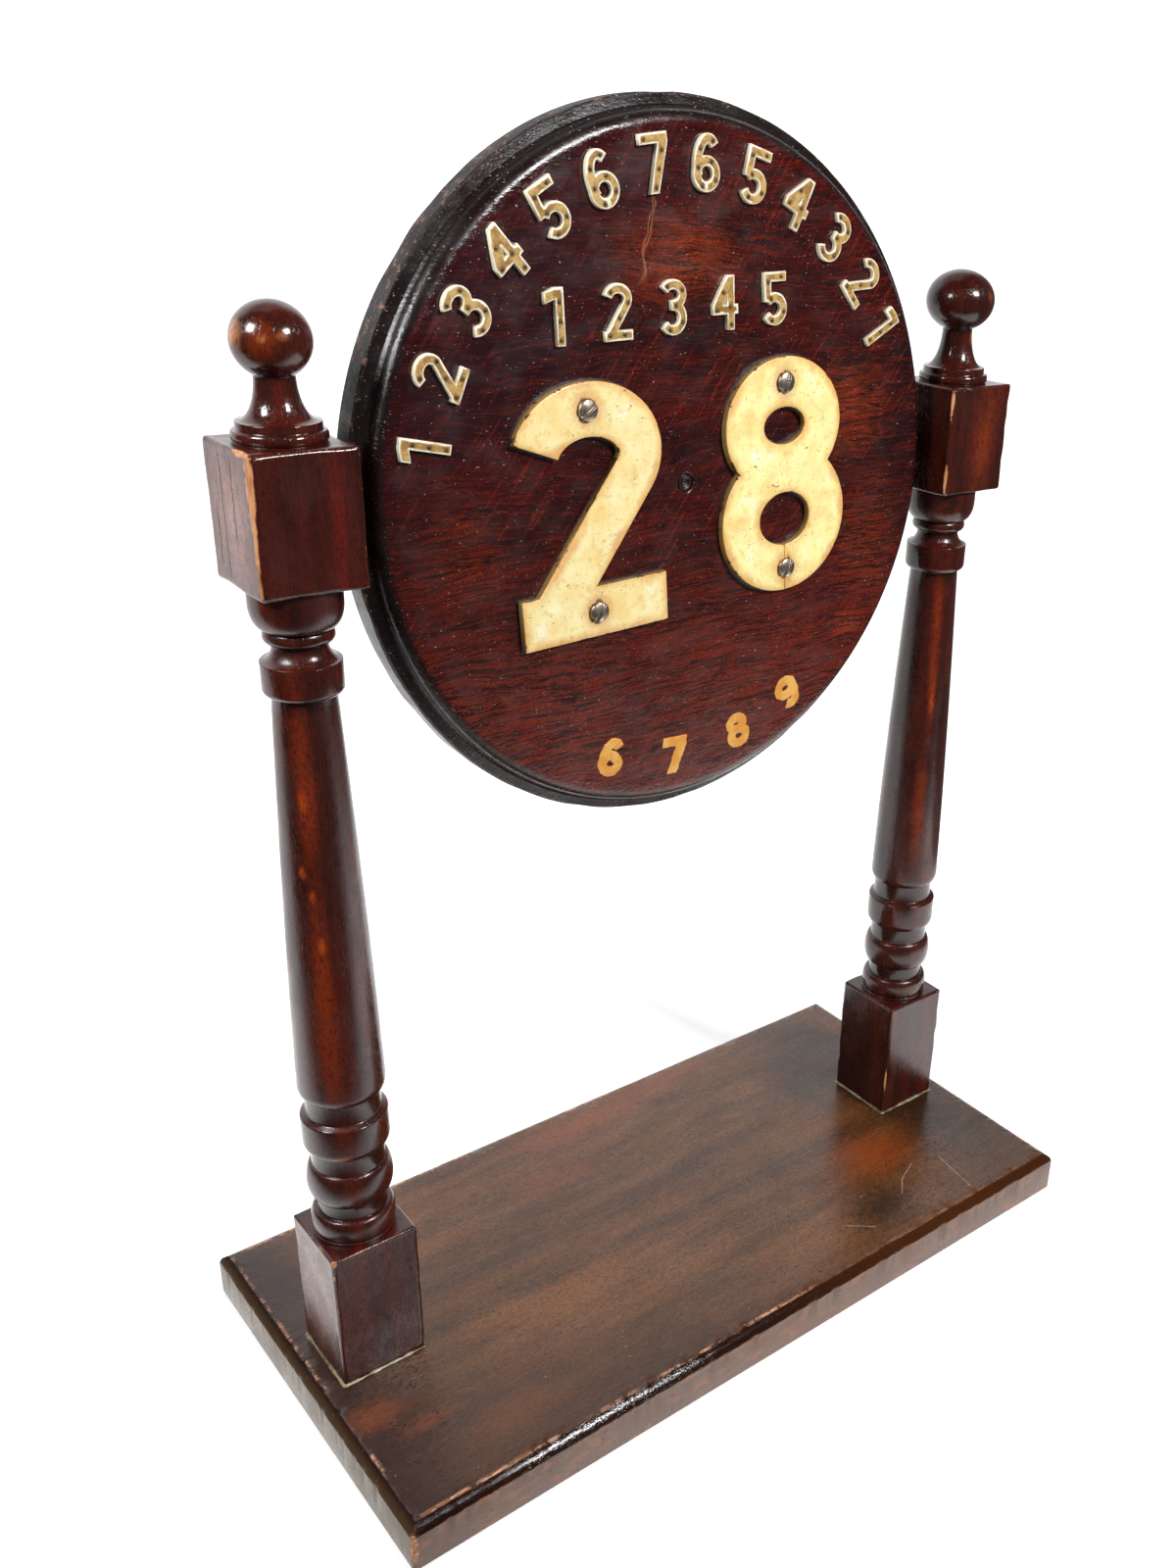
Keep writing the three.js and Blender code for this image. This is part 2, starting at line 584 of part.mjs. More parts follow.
function bar(left, bottom, right, top) {
  return new THREE.Shape([new THREE.Vector2(left, bottom), new THREE.Vector2(right, bottom),
    new THREE.Vector2(right, top), new THREE.Vector2(left, top)]);
}

// Sizes that the figures share: the half box, the width of the band, and the two bowls
function figureFrame(height, width, stroke) {
  const upperShare = 0.47;
  const bowls = (height + stroke) / 2;
  const upper = new THREE.Vector2(width / 2, bowls * upperShare);
  const lower = new THREE.Vector2(width / 2, bowls * (1 - upperShare));
  return {
    x: width / 2,
    y: height / 2,
    stroke,
    upper,
    lower,
    upperMiddle: new THREE.Vector2(0, height / 2 - upper.y),
    lowerMiddle: new THREE.Vector2(0, lower.y - height / 2),
  };
}

// An arc along the middle of the band of a bowl, between two angles
function bowlArc(middle, radii, stroke, angles, steps) {
  return ellipse(middle, drawnIn(radii, stroke / 2), angles[0], angles[1], steps);
}

// Where the bands of the round figures start and end
const TWO_ANGLES = [165 * DEGREE, -28 * DEGREE];
const THREE_UPPER_ANGLES = [150 * DEGREE, -100 * DEGREE];
const THREE_LOWER_ANGLES = [100 * DEGREE, -150 * DEGREE];
const FIVE_ANGLES = [140 * DEGREE, -150 * DEGREE];
const SIX_ANGLES = [48 * DEGREE, 215 * DEGREE];

function polygon(...pairs) {
  return new THREE.Shape(pairs.map(([x, y]) => new THREE.Vector2(x, y)));
}

function shapesOfOne(f) {
  const stemLeft = -f.stroke / 2;
  const flagShare = 0.55;
  const flagFoot = f.y - f.x * flagShare;
  const flagEdge = f.stroke * flagShare;
  const flag = polygon([stemLeft, f.y], [0, f.y], [0, flagFoot], [-f.x, flagFoot - flagEdge],
    [-f.x, flagFoot + flagEdge]);
  return [bar(stemLeft, -f.y, f.stroke / 2, f.y), flag];
}

function shapesOfTwo(f, steps) {
  const footShare = 0.62;
  const arc = bowlArc(f.upperMiddle, f.upper, f.stroke, TWO_ANGLES, steps);
  const foot = new THREE.Vector2(f.stroke * footShare - f.x, f.stroke / 2 - f.y);
  return [band([...arc, foot], f.stroke), bar(-f.x, -f.y, f.x, f.stroke - f.y)];
}

function shapesOfThree(f, steps) {
  const upper = bowlArc(f.upperMiddle, f.upper, f.stroke, THREE_UPPER_ANGLES, steps);
  const lower = bowlArc(f.lowerMiddle, f.lower, f.stroke, THREE_LOWER_ANGLES, steps);
  return [band(upper, f.stroke), band(lower, f.stroke)];
}

function shapesOfFour(f) {
  const crossFootShare = 0.42;
  const crossFoot = -f.y * crossFootShare;
  const crossTop = crossFoot + f.stroke;
  const stemRight = f.x - f.stroke / 2;
  const stemLeft = stemRight - f.stroke;
  const slant = polygon([stemLeft, f.y], [stemRight, f.y], [f.stroke - f.x, crossFoot],
    [-f.x, crossFoot], [-f.x, crossTop]);
  return [bar(stemLeft, -f.y, stemRight, f.y), bar(-f.x, crossFoot, f.x, crossTop), slant];
}

function shapesOfFive(f, steps) {
  const reachShare = 0.9;
  const stemFootShare = 0.45;
  const reach = f.x * reachShare;
  const stemFoot = f.lowerMiddle.y + f.lower.y * stemFootShare;
  const bowl = bowlArc(f.lowerMiddle, f.lower, f.stroke, FIVE_ANGLES, steps);
  const stem = bar(-reach, stemFoot, f.stroke - reach, f.y);
  return [bar(-reach, f.y - f.stroke, reach, f.y), stem, band(bowl, f.stroke)];
}

function shapesOfSix(f, steps) {
  const whole = new THREE.Vector2(f.x, f.y);
  const back = bowlArc(new THREE.Vector2(0, 0), whole, f.stroke, SIX_ANGLES, steps);
  return [band(back, f.stroke), loop(f.lowerMiddle, f.lower, f.stroke, steps)];
}

function shapesOfSeven(f) {
  const footShare = 0.55;
  const slantTopShare = 1.3;
  const slantFootShare = 1.1;
  const footLeft = -f.x * footShare;
  const shelf = f.y - f.stroke;
  const slant = polygon([f.x, f.y], [f.x - f.stroke, f.y], [f.x - f.stroke * slantTopShare, shelf],
    [footLeft, -f.y], [footLeft + f.stroke * slantFootShare, -f.y], [f.x, shelf]);
  return [bar(-f.x, shelf, f.x, f.y), slant];
}

function shapesOfEight(f, steps) {
  const slimmerShare = 0.92;
  const slimmer = new THREE.Vector2(f.upper.x * slimmerShare, f.upper.y);
  return [loop(f.upperMiddle, slimmer, f.stroke, steps), loop(f.lowerMiddle, f.lower, f.stroke, steps)];
}

const FIGURE_SHAPES = {
  1: shapesOfOne,
  2: shapesOfTwo,
  3: shapesOfThree,
  4: shapesOfFour,
  5: shapesOfFive,
  6: shapesOfSix,
  7: shapesOfSeven,
  8: shapesOfEight,
};

function figureSolid(digit, height, width, stroke, thickness, steps) {
  const shapes = FIGURE_SHAPES[digit](figureFrame(height, width, stroke), steps);
  const settings = { depth: thickness, bevelEnabled: false };
  return union(shapes.map((shape) => toSolid(new THREE.ExtrudeGeometry(shape, settings))));
}

function smallFigure(digit) {
  const solid = figureSolid(digit, SMALL_HEIGHT, SMALL_WIDTH, SMALL_STROKE, SMALL_THICKNESS, SMALL_STEPS);
  return toGeometry(solid);
}

// Screw places of a large figure lie on the middle of its top and bottom strokes
function largeScrewHeights() {
  const reach = (LARGE_HEIGHT - LARGE_STROKE) / 2;
  return [reach, -reach];
}

function largeFigure(digit) {
  const solid = figureSolid(digit, LARGE_HEIGHT, LARGE_WIDTH, LARGE_STROKE, LARGE_THICKNESS, LARGE_STEPS);
  const holes = largeScrewHeights().map((height) => {
    const hole = rod(FIGURE_SCREW_DIAMETER + CLEARANCE * 2, LARGE_THICKNESS + OVERRUN * 2);
    hole.translate(0, height, -OVERRUN);
    return toSolid(hole);
  });
  return toGeometry(cut(solid, holes));
}

// Assembly

const object = new THREE.Group();

function add(parent, name, geometry, look) {
  const mesh = new THREE.Mesh(geometry, look);
  mesh.name = name;
  parent.add(mesh);
  return mesh;
}

function sideName(side) {
  return side < 0 ? "left" : "right";
}

function addStand() {
  add(object, "base_board", baseBoard(), baseWood);
  const finials = {
    left: finial(LEFT_FLARE_HEIGHT, LEFT_BALL_DIAMETER, LEFT_BALL_HEIGHT),
    right: finial(RIGHT_FLARE_HEIGHT, RIGHT_BALL_DIAMETER, RIGHT_BALL_HEIGHT),
  };
  for (const side of [-1, 1]) {
    const name = sideName(side);
    const across = side * POST_OFFSET;
    add(object, `${name}_post`, post(side), postWood).position.set(across, POST_SET_BACK, 0);
    add(object, `${name}_finial`, finials[name], postWood)
      .position.set(across, POST_SET_BACK, UPPER_BLOCK_TOP);
    add(object, `${name}_post_screw`, postScrew(), darkSteel)
      .position.set(across, POST_SET_BACK, POST_SCREW_SINK);
    addPivot(side, name);
  }
}

function addPivot(side, name) {
  const blockFace = DISC_DIAMETER / 2 + DISC_TO_BLOCK_GAP;
  const pin = add(object, `${name}_pivot_pin`, pivotPin(), darkSteel);
  pin.rotation.y = -side * QUARTER_TURN;
  pin.position.set(side * (blockFace + PIN_IN_BLOCK), POST_SET_BACK + PIVOT_BACK, PIVOT_HEIGHT);
  const washer = add(object, `${name}_pivot_washer`, pivotWasher(), darkSteel);
  washer.rotation.y = -side * QUARTER_TURN;
  washer.position.set(side * (blockFace - SEAT_GAP), POST_SET_BACK + PIVOT_BACK, PIVOT_HEIGHT);
}

// Puts a figure that is modelled flat on the front of the round board, turned by an angle
function placeOnFront(mesh, across, up, turn) {
  mesh.rotation.order = "YXZ";
  mesh.rotation.y = -turn;
  mesh.rotation.x = QUARTER_TURN;
  mesh.position.set(across, -DISC_THICKNESS / 2 - SEAT_GAP, up);
}

function addLargeFigures(board) {
  [...LARGE_FIGURES].forEach((digit, i) => {
    const side = i === 0 ? -1 : 1;
    const name = sideName(side);
    const middle = new THREE.Vector2((side * LARGE_SPREAD) / 2, 0);
    middle.rotateAround(new THREE.Vector2(0, 0), LARGE_LEAN_ANGLE);
    middle.add(new THREE.Vector2(LARGE_SHIFT, -LARGE_DROP));
    const figure = add(board, `${name}_large_figure`, largeFigure(digit), creamEnamel);
    placeOnFront(figure, middle.x, middle.y, LARGE_LEAN_ANGLE);
    largeScrewHeights().forEach((height, k) => {
      const place = new THREE.Vector2(0, height);
      place.rotateAround(new THREE.Vector2(0, 0), LARGE_LEAN_ANGLE);
      place.add(middle);
      frontScrewPlaces.push(place);
      const level = k === 0 ? "upper" : "lower";
      const screw = add(board, `${name}_figure_${level}_screw`, figureScrew(), screwSteel);
      screw.rotation.x = -QUARTER_TURN;
      screw.position.set(place.x, -DISC_THICKNESS / 2 - LARGE_THICKNESS - SEAT_GAP * 2, place.y);
    });
  });
}

function addSmallFigures(board) {
  const middle = (ROW_FIGURES.length - 1) / 2;
  [...ROW_FIGURES].forEach((digit, i) => {
    const place = new THREE.Vector2((i - middle) * ROW_PITCH, 0);
    place.rotateAround(new THREE.Vector2(0, 0), ROW_LEAN_ANGLE);
    const figure = add(board, `row_figure_${i + 1}`, smallFigure(digit), creamBrass);
    placeOnFront(figure, place.x + ROW_SHIFT, place.y + ROW_HEIGHT, ROW_LEAN_ANGLE);
  });
  [...ARC_FIGURES].forEach((digit, i) => {
    const angle = ARC_START_ANGLE - ARC_STEP_ANGLE * i;
    const mesh = add(board, `arc_figure_${String(i + 1).padStart(2, "0")}`, smallFigure(digit), creamBrass);
    placeOnFront(mesh, ARC_RADIUS * Math.cos(angle), ARC_RADIUS * Math.sin(angle), angle - QUARTER_TURN);
  });
}

function addDisc() {
  const swing = new THREE.Group();
  swing.position.set(0, POST_SET_BACK + PIVOT_BACK, PIVOT_HEIGHT);
  swing.rotation.x = -REST_TILT_ANGLE;
  const board = new THREE.Group();
  board.position.set(0, -PIVOT_BACK, 0);
  swing.add(board);
  object.add(swing);
  addLargeFigures(board);
  add(board, "sign_disc", signDisc(), discOak);
  const plug = add(board, "centre_plug", centrePlug(), plugWood);
  plug.rotation.x = QUARTER_TURN;
  plug.position.set(0, PLUG_DEPTH - DISC_THICKNESS / 2, 0);
  addSmallFigures(board);
}

addStand();
addDisc();

export default object;
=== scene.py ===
# Looks of the rotating sign: fine wood, figures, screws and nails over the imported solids.
import json
import math

import bmesh
import bpy
import numpy as np
from mathutils import Matrix, Vector, geometry, noise


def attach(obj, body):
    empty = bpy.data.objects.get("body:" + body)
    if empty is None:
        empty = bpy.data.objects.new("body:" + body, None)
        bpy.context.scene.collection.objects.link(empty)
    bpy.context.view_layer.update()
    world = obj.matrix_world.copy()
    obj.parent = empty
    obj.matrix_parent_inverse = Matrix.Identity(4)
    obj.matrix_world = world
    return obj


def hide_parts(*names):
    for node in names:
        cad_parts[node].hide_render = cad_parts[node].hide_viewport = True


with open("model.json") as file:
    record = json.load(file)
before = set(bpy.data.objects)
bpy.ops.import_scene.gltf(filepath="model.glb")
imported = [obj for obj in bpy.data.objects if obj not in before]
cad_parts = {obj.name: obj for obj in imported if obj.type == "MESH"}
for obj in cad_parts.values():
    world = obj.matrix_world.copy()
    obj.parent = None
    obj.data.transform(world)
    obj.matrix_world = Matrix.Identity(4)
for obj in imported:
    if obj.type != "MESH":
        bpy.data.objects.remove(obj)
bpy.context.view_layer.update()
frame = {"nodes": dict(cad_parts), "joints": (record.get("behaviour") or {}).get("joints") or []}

# Blender's vector noise differs from run to run without a seed
noise.seed_set(1)
MM = 0.001
SIDES = {"left": -1, "right": 1}

# Sizes in millimetres, the same as those of the solids

BASE_DEPTH = 192
BASE_THICKNESS = 22.2
BASE_CHAMFER_RUN = 4.5
BASE_CHAMFER_DROP = 4
BASE_CORNER = 1.6
BASE_END_MARGIN = 12

DISC_DIAMETER = 277.8
DISC_THICKNESS = 19
DISC_TO_BLOCK_GAP = 2
DISC_EDGE_WIDTH = 10.5
DISC_BACK_EASE = 1
DISC_RIM_WIDTH = 4.4
DISC_RIM_DROP = 1.8
DISC_FIELD_ROUND = 5
DISC_FIELD_SLOPE_RUN = 1

BLOCK_WIDTH = 38.1
LOWER_BLOCK_HEIGHT = 67.2
UPPER_BLOCK_HEIGHT = 47.9
POST_SET_BACK = 4.8
SEAT_GAP = 0.2
OVERRUN = 2

FINIAL_FOOT_WIDTH = 30
FINIAL_SINK = 1
FINIAL_FLARE_WIDTH = 26.4
FINIAL_NECK_WIDTH = 13.4
# Flare height, ball width and ball height of the two finials
FINIAL_SIZES = {"left": (14.2, 26.2, 24.8), "right": (16.4, 30.8, 26.4)}

PLUG_DIAMETER = 6.6
PLUG_DEPTH = 6
PLUG_DISH = 0.7
PLUG_LIP = 0.9
PLUG_GAP = 0.35
PIVOT_BACK = 2.5
REST_TILT = math.radians(1.8)

LARGE_HEIGHT = 96.5
LARGE_WIDTH = 67
LARGE_STROKE = 20
LARGE_THICKNESS = 3
LARGE_SPREAD = 96
LARGE_SHIFT = 1.4
LARGE_DROP = 4.2
LARGE_LEAN = math.radians(2.5)
SCREW_HEAD_DIAMETER = 8.2
SCREW_HEAD_HEIGHT = 2.2
SLOT_WIDTH = 1.1
SLOT_DEPTH = 0.9
# How far the slots of the upper and lower screws are turned, in radians
SCREW_TURNS = {"left": (0.5, 1.0), "right": (1.15, 1.0)}

SMALL_HEIGHT = 20
SMALL_WIDTH = 12.5
SMALL_STROKE = 3.6
SMALL_THICKNESS = 1.8
ROW_HEIGHT = 66.05
ROW_PITCH = 25
ROW_SHIFT = -7.6
ROW_LEAN = math.radians(2)
ARC_RADIUS = 116
ARC_START = math.radians(168)
ARC_STEP = math.radians(11.7)
ARC_FIGURES = "1234567654321"
ROW_FIGURES = "12345"
LARGE_FIGURES = "28"

# Sizes of what only this script makes

BASE_CHAMFER_BULGE = 0.45
BASE_FOOT_EASE = 0.6
BASE_ARRIS_ROUND = 0.7
BASE_PITCH = 1.2
DISC_ARRIS_ROUND = 0.6
DISC_SEGMENTS = 320
POST_ARRIS_ROUND = 0.5
FINIAL_ARRIS_ROUND = 0.4
LOWER_BLOCK_EASE = 1.1
UPPER_BLOCK_EASE = 1.3
BLOCK_PITCH = 5
# Distances from the end of a block's edge, close together where it is rounded
BLOCK_EDGE_STEPS = [0, 0.2, 0.45, 0.75, 1.1, 1.6, 2.3, 3.4]
# Share of its own radius by which a block's edge changes where it is worn
BLOCK_WEAR = 0.9
PLUG_SEGMENTS = 48
LARGE_ROUND = 0.7
LARGE_PITCH = 2.2
LARGE_STEPS = 64
SMALL_ROUND = 0.35
SMALL_PITCH = 0.9
SCREW_ROUND = 0.3
SCREW_PITCH = 0.14
SCREW_DOME = 1.5
NAIL_SPACING = 6.2
NAIL_SINK = 0.04
NAIL_SEGMENTS = 14
# Radius and height of the points of a nail's head, and the section of a line of glue
NAIL_HEAD = [(0.62, 0), (0.6, 0.16), (0.42, 0.34), (0.2, 0.42), (0, 0.44)]
GLUE_SECTION = [(-0.3, 0.9), (0.25, 0.65), (0.6, 0.3), (0.95, -0.02)]
GLUE_CORNER = 0.8
GLUE_PITCH = 0.8
GLUE_SINK = 0.02
# A thin dark line round each large figure: mostly painted shadow, partly wax dirt
SHADOW_AND_DIRT_REACH = 0.7
SHADOW_AND_DIRT_THICKNESS = 0.05
SHADOW_AND_DIRT_ROUND = 0.03
SHADOW_AND_DIRT_PITCH = 6
# Painted figures at the foot of the round board: figure and the angle in degrees at which it stands
PAINTED_FIGURES = {"6": -109.3, "7": -92.8, "8": -75.3, "9": -59.8}
PAINTED_RADIUS = 114.5
PAINTED_HEIGHT = 16.5
PAINTED_WIDTH = 12.5
PAINTED_STROKE = 4.4
PAINT_THICKNESS = 0.08
PAINT_ROUND = 0.05
PAINT_PITCH = 1.5

DISC_RADIUS = DISC_DIAMETER / 2
POST_OFFSET = DISC_RADIUS + DISC_TO_BLOCK_GAP + BLOCK_WIDTH / 2
BASE_LENGTH = (POST_OFFSET + BLOCK_WIDTH / 2 + BASE_END_MARGIN) * 2
LOWER_BLOCK_TOP = BASE_THICKNESS + SEAT_GAP + LOWER_BLOCK_HEIGHT

# The round board's own frame: origin at its middle, x across, z up, front towards -y
pivot = Vector(frame["joints"][0]["pos_m"])
BOARD = (
    Matrix.Translation(pivot)
    @ Matrix.Rotation(-REST_TILT, 4, "X")
    @ Matrix.Translation((0, -PIVOT_BACK * MM, 0))
)


# Pieces

def add_piece(name, shape, look, body, nodes=(), place=None):
    """Makes an object of a shape in millimetres, whose values at each point become attributes."""
    seat = place or Matrix.Identity(4)
    mesh = bpy.data.meshes.new(name)
    points = [seat @ (Vector(point) * MM) for point in shape["points"]]
    mesh.from_pydata(points, [], shape["faces"])
    for key, values in shape["values"].items():
        layer = mesh.attributes.new(key, "FLOAT", "POINT")
        layer.data.foreach_set("value", [float(value) for value in values])
    mesh.materials.append(look)
    work = bmesh.new()
    work.from_mesh(mesh)
    bmesh.ops.recalc_face_normals(work, faces=work.faces)
    work.to_mesh(mesh)
    work.free()
    mesh.shade_smooth()
    piece = bpy.data.objects.new(name, mesh)
    bpy.context.scene.collection.objects.link(piece)
    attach(piece, body)
    if nodes:
        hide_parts(*nodes)


def joined(shapes):
    """One shape out of several."""
    points, faces, values = [], [], {}
    for shape in shapes:
        start = len(points)
        points += [tuple(point) for point in shape["points"]]
        faces += [[start + k for k in face] for face in shape["faces"]]
        for key, listed in shape["values"].items():
            values.setdefault(key, []).extend(listed)
    return {"points": points, "faces": faces, "values": values}


def lifted(shape, offset):
    points = [Vector(point) + Vector(offset) for point in shape["points"]]
    return {"points": points, "faces": shape["faces"], "values": shape["values"]}


def at(x, y, z):
    return Matrix.Translation((x * MM, y * MM, z * MM))


def skin(rings):
    """Faces between rings of point numbers, from each to the next."""
    faces = []
    for lower, upper in zip(rings, rings[1:]):
        for k in range(len(lower)):
            m = (k + 1) % len(lower)
            face = list(dict.fromkeys([lower[k], lower[m], upper[m], upper[k]]))
            if len(face) > 2:
                faces.append(face)
    return faces


# Turned pieces: each moulding adds points to an outline of (radius, height), from its last point upwards

def step(outline, width, rise):
    outline.append((width / 2, outline[-1][1]))
    outline.append((width / 2, outline[-1][1] + rise))


def slope(outline, width, rise):
    outline.append((width / 2, outline[-1][1] + rise))


def swelling(outline, start_width, widest, end_width, rise, share=0.5, steps=18):
    """Widest at a share of its rise."""
    foot = outline[-1][1]
    for k in range(steps + 1):
        angle = (k / steps - 0.5) * math.pi
        end = start_width if angle < 0 else end_width
        reach = share if angle < 0 else 1 - share
        radius = (end + (widest - end) * math.cos(angle)) / 2
        outline.append((radius, foot + rise * (share + reach * math.sin(angle))))


def round_out(outline, start_width, end_width, rise, steps=8):
    foot = outline[-1][1]
    for k in range(steps + 1):
        angle = k / steps * math.pi / 2
        radius = (start_width + (end_width - start_width) * math.sin(angle)) / 2
        outline.append((radius, foot + rise * (1 - math.cos(angle))))


def cove(outline, start_width, end_width, rise, steps=12):
    foot = outline[-1][1]
    for k in range(steps + 1):
        angle = k / steps * math.pi / 2
        radius = (end_width + (start_width - end_width) * (1 - math.sin(angle))) / 2
        outline.append((radius, foot + rise * (1 - math.cos(angle))))


def shaft(outline, start_width, end_width, rise, belly=1, steps=24):
    """A taper with a slight belly."""
    foot = outline[-1][1]
    for k in range(1, steps + 1):
        share = k / steps
        width = start_width + (end_width - start_width) * share + belly * math.sin(share * math.pi)
        outline.append((width / 2, foot + rise * share))


# From the bottom up: the form, its widths and its rise
POST_MOULDINGS = [
    (slope, 33.8, OVERRUN + 1.6),
    (swelling, 32.2, 34.4, 29.8, 10),
    (step, 28.2, 6.6),
    (swelling, 28.4, 34.8, 29.6, 16.2),
    (step, 29.6, 8.2),
    (round_out, 29.6, 34.8, 4.2),
    (slope, 34.8, 11.6),
    (slope, 30, 1.4),
    (slope, 30, 9),
    (round_out, 30, 34.6, 4.6),
    (shaft, 34.6, 22.8, 164),
    (round_out, 22.8, 28.4, 2.6),
    (slope, 28.4, 9.8),
    (cove, 28.4, 19.2, 6.4),
    (swelling, 19.2, 24.8, 22.6, 5.2),
    (swelling, 22.6, 32.2, 32.2, 15.4, 0.58),
]
FINIAL_MOULDINGS = [(swelling, 29.5, 31.3, 29.5, 3.6), (step, 27.8, 2.8)]


def turning():
    """The turned part of a post, from the top of the lower block, and its height."""
    outline = [(0, -OVERRUN), (POST_MOULDINGS[0][1] / 2, -OVERRUN)]
    for form, *sizes in POST_MOULDINGS:
        form(outline, *sizes)
    radius, top = outline[-1]
    return outline + [(radius, top + OVERRUN), (0, top + OVERRUN)], top


def finial_outline(flare, across, height, steps=32):
    """Ring, step and flared neck under a slightly flat ball."""
    foot = FINIAL_FOOT_WIDTH / 2
    outline = [(0, -FINIAL_SINK), (foot, -FINIAL_SINK), (foot, SEAT_GAP)]
    for form, *sizes in FINIAL_MOULDINGS:
        form(outline, *sizes)
    cove(outline, FINIAL_FLARE_WIDTH, FINIAL_NECK_WIDTH, flare)
    start = -math.acos(FINIAL_NECK_WIDTH / across)
    centre = outline[-1][1] - height / 2 * math.sin(start)
    for k in range(1, steps + 1):
        angle = start + (math.pi / 2 - start) * k / steps
        outline.append((across / 2 * math.cos(angle), centre + height / 2 * math.sin(angle)))
    outline[-1] = (0, outline[-1][1])
    return outline


def softened(outline, radius, steps=3, least=0.3):
    """The outline with each corner of more than the least angle rounded over."""
    points = [Vector(p) for k, p in enumerate(outline) if k == 0 or math.dist(p, outline[k - 1]) > 1e-6]
    made = [points[0]]
    for before, here, after in zip(points, points[1:], points[2:]):
        into, out = here - before, after - here
        if into.angle(out) < least:
            made.append(here)
            continue
        cut = min(radius, into.length * 0.45, out.length * 0.45)
        start, end = here - into.normalized() * cut, here + out.normalized() * cut
        for k in range(steps + 1):
            t = k / steps
            made.append(start * (1 - t) ** 2 + here * 2 * t * (1 - t) + end * t ** 2)
    made.append(points[-1])
    return made


def relief(outline, reach=2.2, depth=1.2, pitch=0.2):
    """How far each point stands out (above 0) or lies in a hollow (below 0), against its surroundings."""
    along = np.concatenate([[0], np.cumsum([(b - a).length for a, b in zip(outline, outline[1:])])])
    radii = np.array([p[0] for p in outline])
    spots = np.arange(0, along[-1], pitch)
    fine = np.interp(spots, along, radii)
    window = np.exp(-(((spots[None, :] - along[:, None]) / reach) ** 2))
    mean = (window * fine).sum(1) / window.sum(1)
    return np.clip((radii - mean) / depth, -1, 1)


def lathe(outline, segments=128):
    """A turned shape about the z axis from an outline of (radius, height) points."""
    points, values, rings = [], [], []
    for (radius, height), value in zip(outline, relief(outline)):
        start = len(points)
        if radius < 1e-6:
            points.append((0, 0, height))
            values.append(value)
            rings.append([start] * segments)
            continue
        for k in range(segments):
            angle = 2 * math.pi * k / segments
            points.append((radius * math.cos(angle), radius * math.sin(angle), height))
            values.append(value)
        rings.append(list(range(start, start + segments)))
    return {"points": points, "faces": skin(rings), "values": {"relief": values}}


# Square blocks with eased and worn edges

def edge_rows(length):
    """Places along an edge, close together near both ends."""
    near = BLOCK_EDGE_STEPS
    spare = length - 2 * near[-1]
    count = max(1, round(spare / BLOCK_PITCH))
    between = [near[-1] + spare * k / count for k in range(1, count)]
    return near + between + [length - value for value in reversed(near)]


def worn_block(low, high, radius, seed):
    """A block whose edges are rounded over, more in some places than in others."""
    rows = [edge_rows(b - a) for a, b in zip(low, high)]
    index, points, faces, values = {}, [], [], []

    def corner(key):
        if key not in index:
            index[key] = len(points)
            flat = Vector(low[n] + rows[n][key[n]] for n in range(3))
            rough = noise.noise(flat * 0.11 + Vector((seed, 0, 0))) + 0.5 * noise.noise(flat * 0.45)
            here = radius * (1 + BLOCK_WEAR * max(rough + 0.25, -0.6))
            inner = Vector(min(max(flat[n], low[n] + here), high[n] - here) for n in range(3))
            points.append(inner + (flat - inner).normalized() * here)
            gaps = sorted(min(flat[n] - low[n], high[n] - flat[n]) for n in range(3))
            values.append(math.exp(-gaps[1] / 1.3))
        return index[key]

    for axis in range(3):
        a, b = [n for n in range(3) if n != axis]
        for end in (0, len(rows[axis]) - 1):
            for i in range(len(rows[a]) - 1):
                for k in range(len(rows[b]) - 1):
                    face = []
                    for m, n in ((i, k), (i + 1, k), (i + 1, k + 1), (i, k + 1)):
                        key = [0, 0, 0]
                        key[axis], key[a], key[b] = end, m, n
                        face.append(corner(tuple(key)))
                    faces.append(face)
    return {"points": points, "faces": faces, "values": {"relief": values}}


# The base board: its outline, as (inset, height) points, is led round a rectangle

def ring(half, inset, corner, pitch, steps=4):
    """Places round a rectangle that is drawn in by an inset, each with its outward direction."""
    radius = max(corner - inset, 0.05)
    path = []
    for k in range(4):
        turn = Matrix.Rotation(k * math.pi / 2, 2)
        full = half if k % 2 == 0 else Vector((half.y, half.x))
        reach = Vector((full.x - inset, full.y - inset))
        count = int(full.y * 2 / pitch)
        for n in range(count + 1):
            y = (reach.y - radius) * (2 * n / count - 1)
            path.append((turn @ Vector((reach.x, y)), turn @ Vector((1, 0))))
        for n in range(1, steps + 1):
            angle = n / (steps + 1) * math.pi / 2
            out = Vector((math.cos(angle), math.sin(angle)))
            middle = Vector((reach.x - radius, reach.y - radius))
            path.append((turn @ (middle + out * radius), turn @ out))
    return path


def base_outline():
    arris = BASE_THICKNESS - BASE_CHAMFER_DROP
    bulge = []
    for k in range(1, 10):
        out = BASE_CHAMFER_BULGE * math.sin(k / 10 * math.pi)
        height = arris + BASE_CHAMFER_DROP * k / 10
        bulge.append((BASE_CHAMFER_RUN * k / 10 - out * 0.66, height + out * 0.75))
    side = [(BASE_FOOT_EASE, 0), (0, BASE_FOOT_EASE), (0, 7), (0, arris)]
    top = [(BASE_CHAMFER_RUN, BASE_THICKNESS), (BASE_CHAMFER_RUN * 2, BASE_THICKNESS)]
    outline = softened([*side, *bulge, *top], BASE_ARRIS_ROUND)
    return outline + [Vector((inset, BASE_THICKNESS)) for inset in (12, 18)]


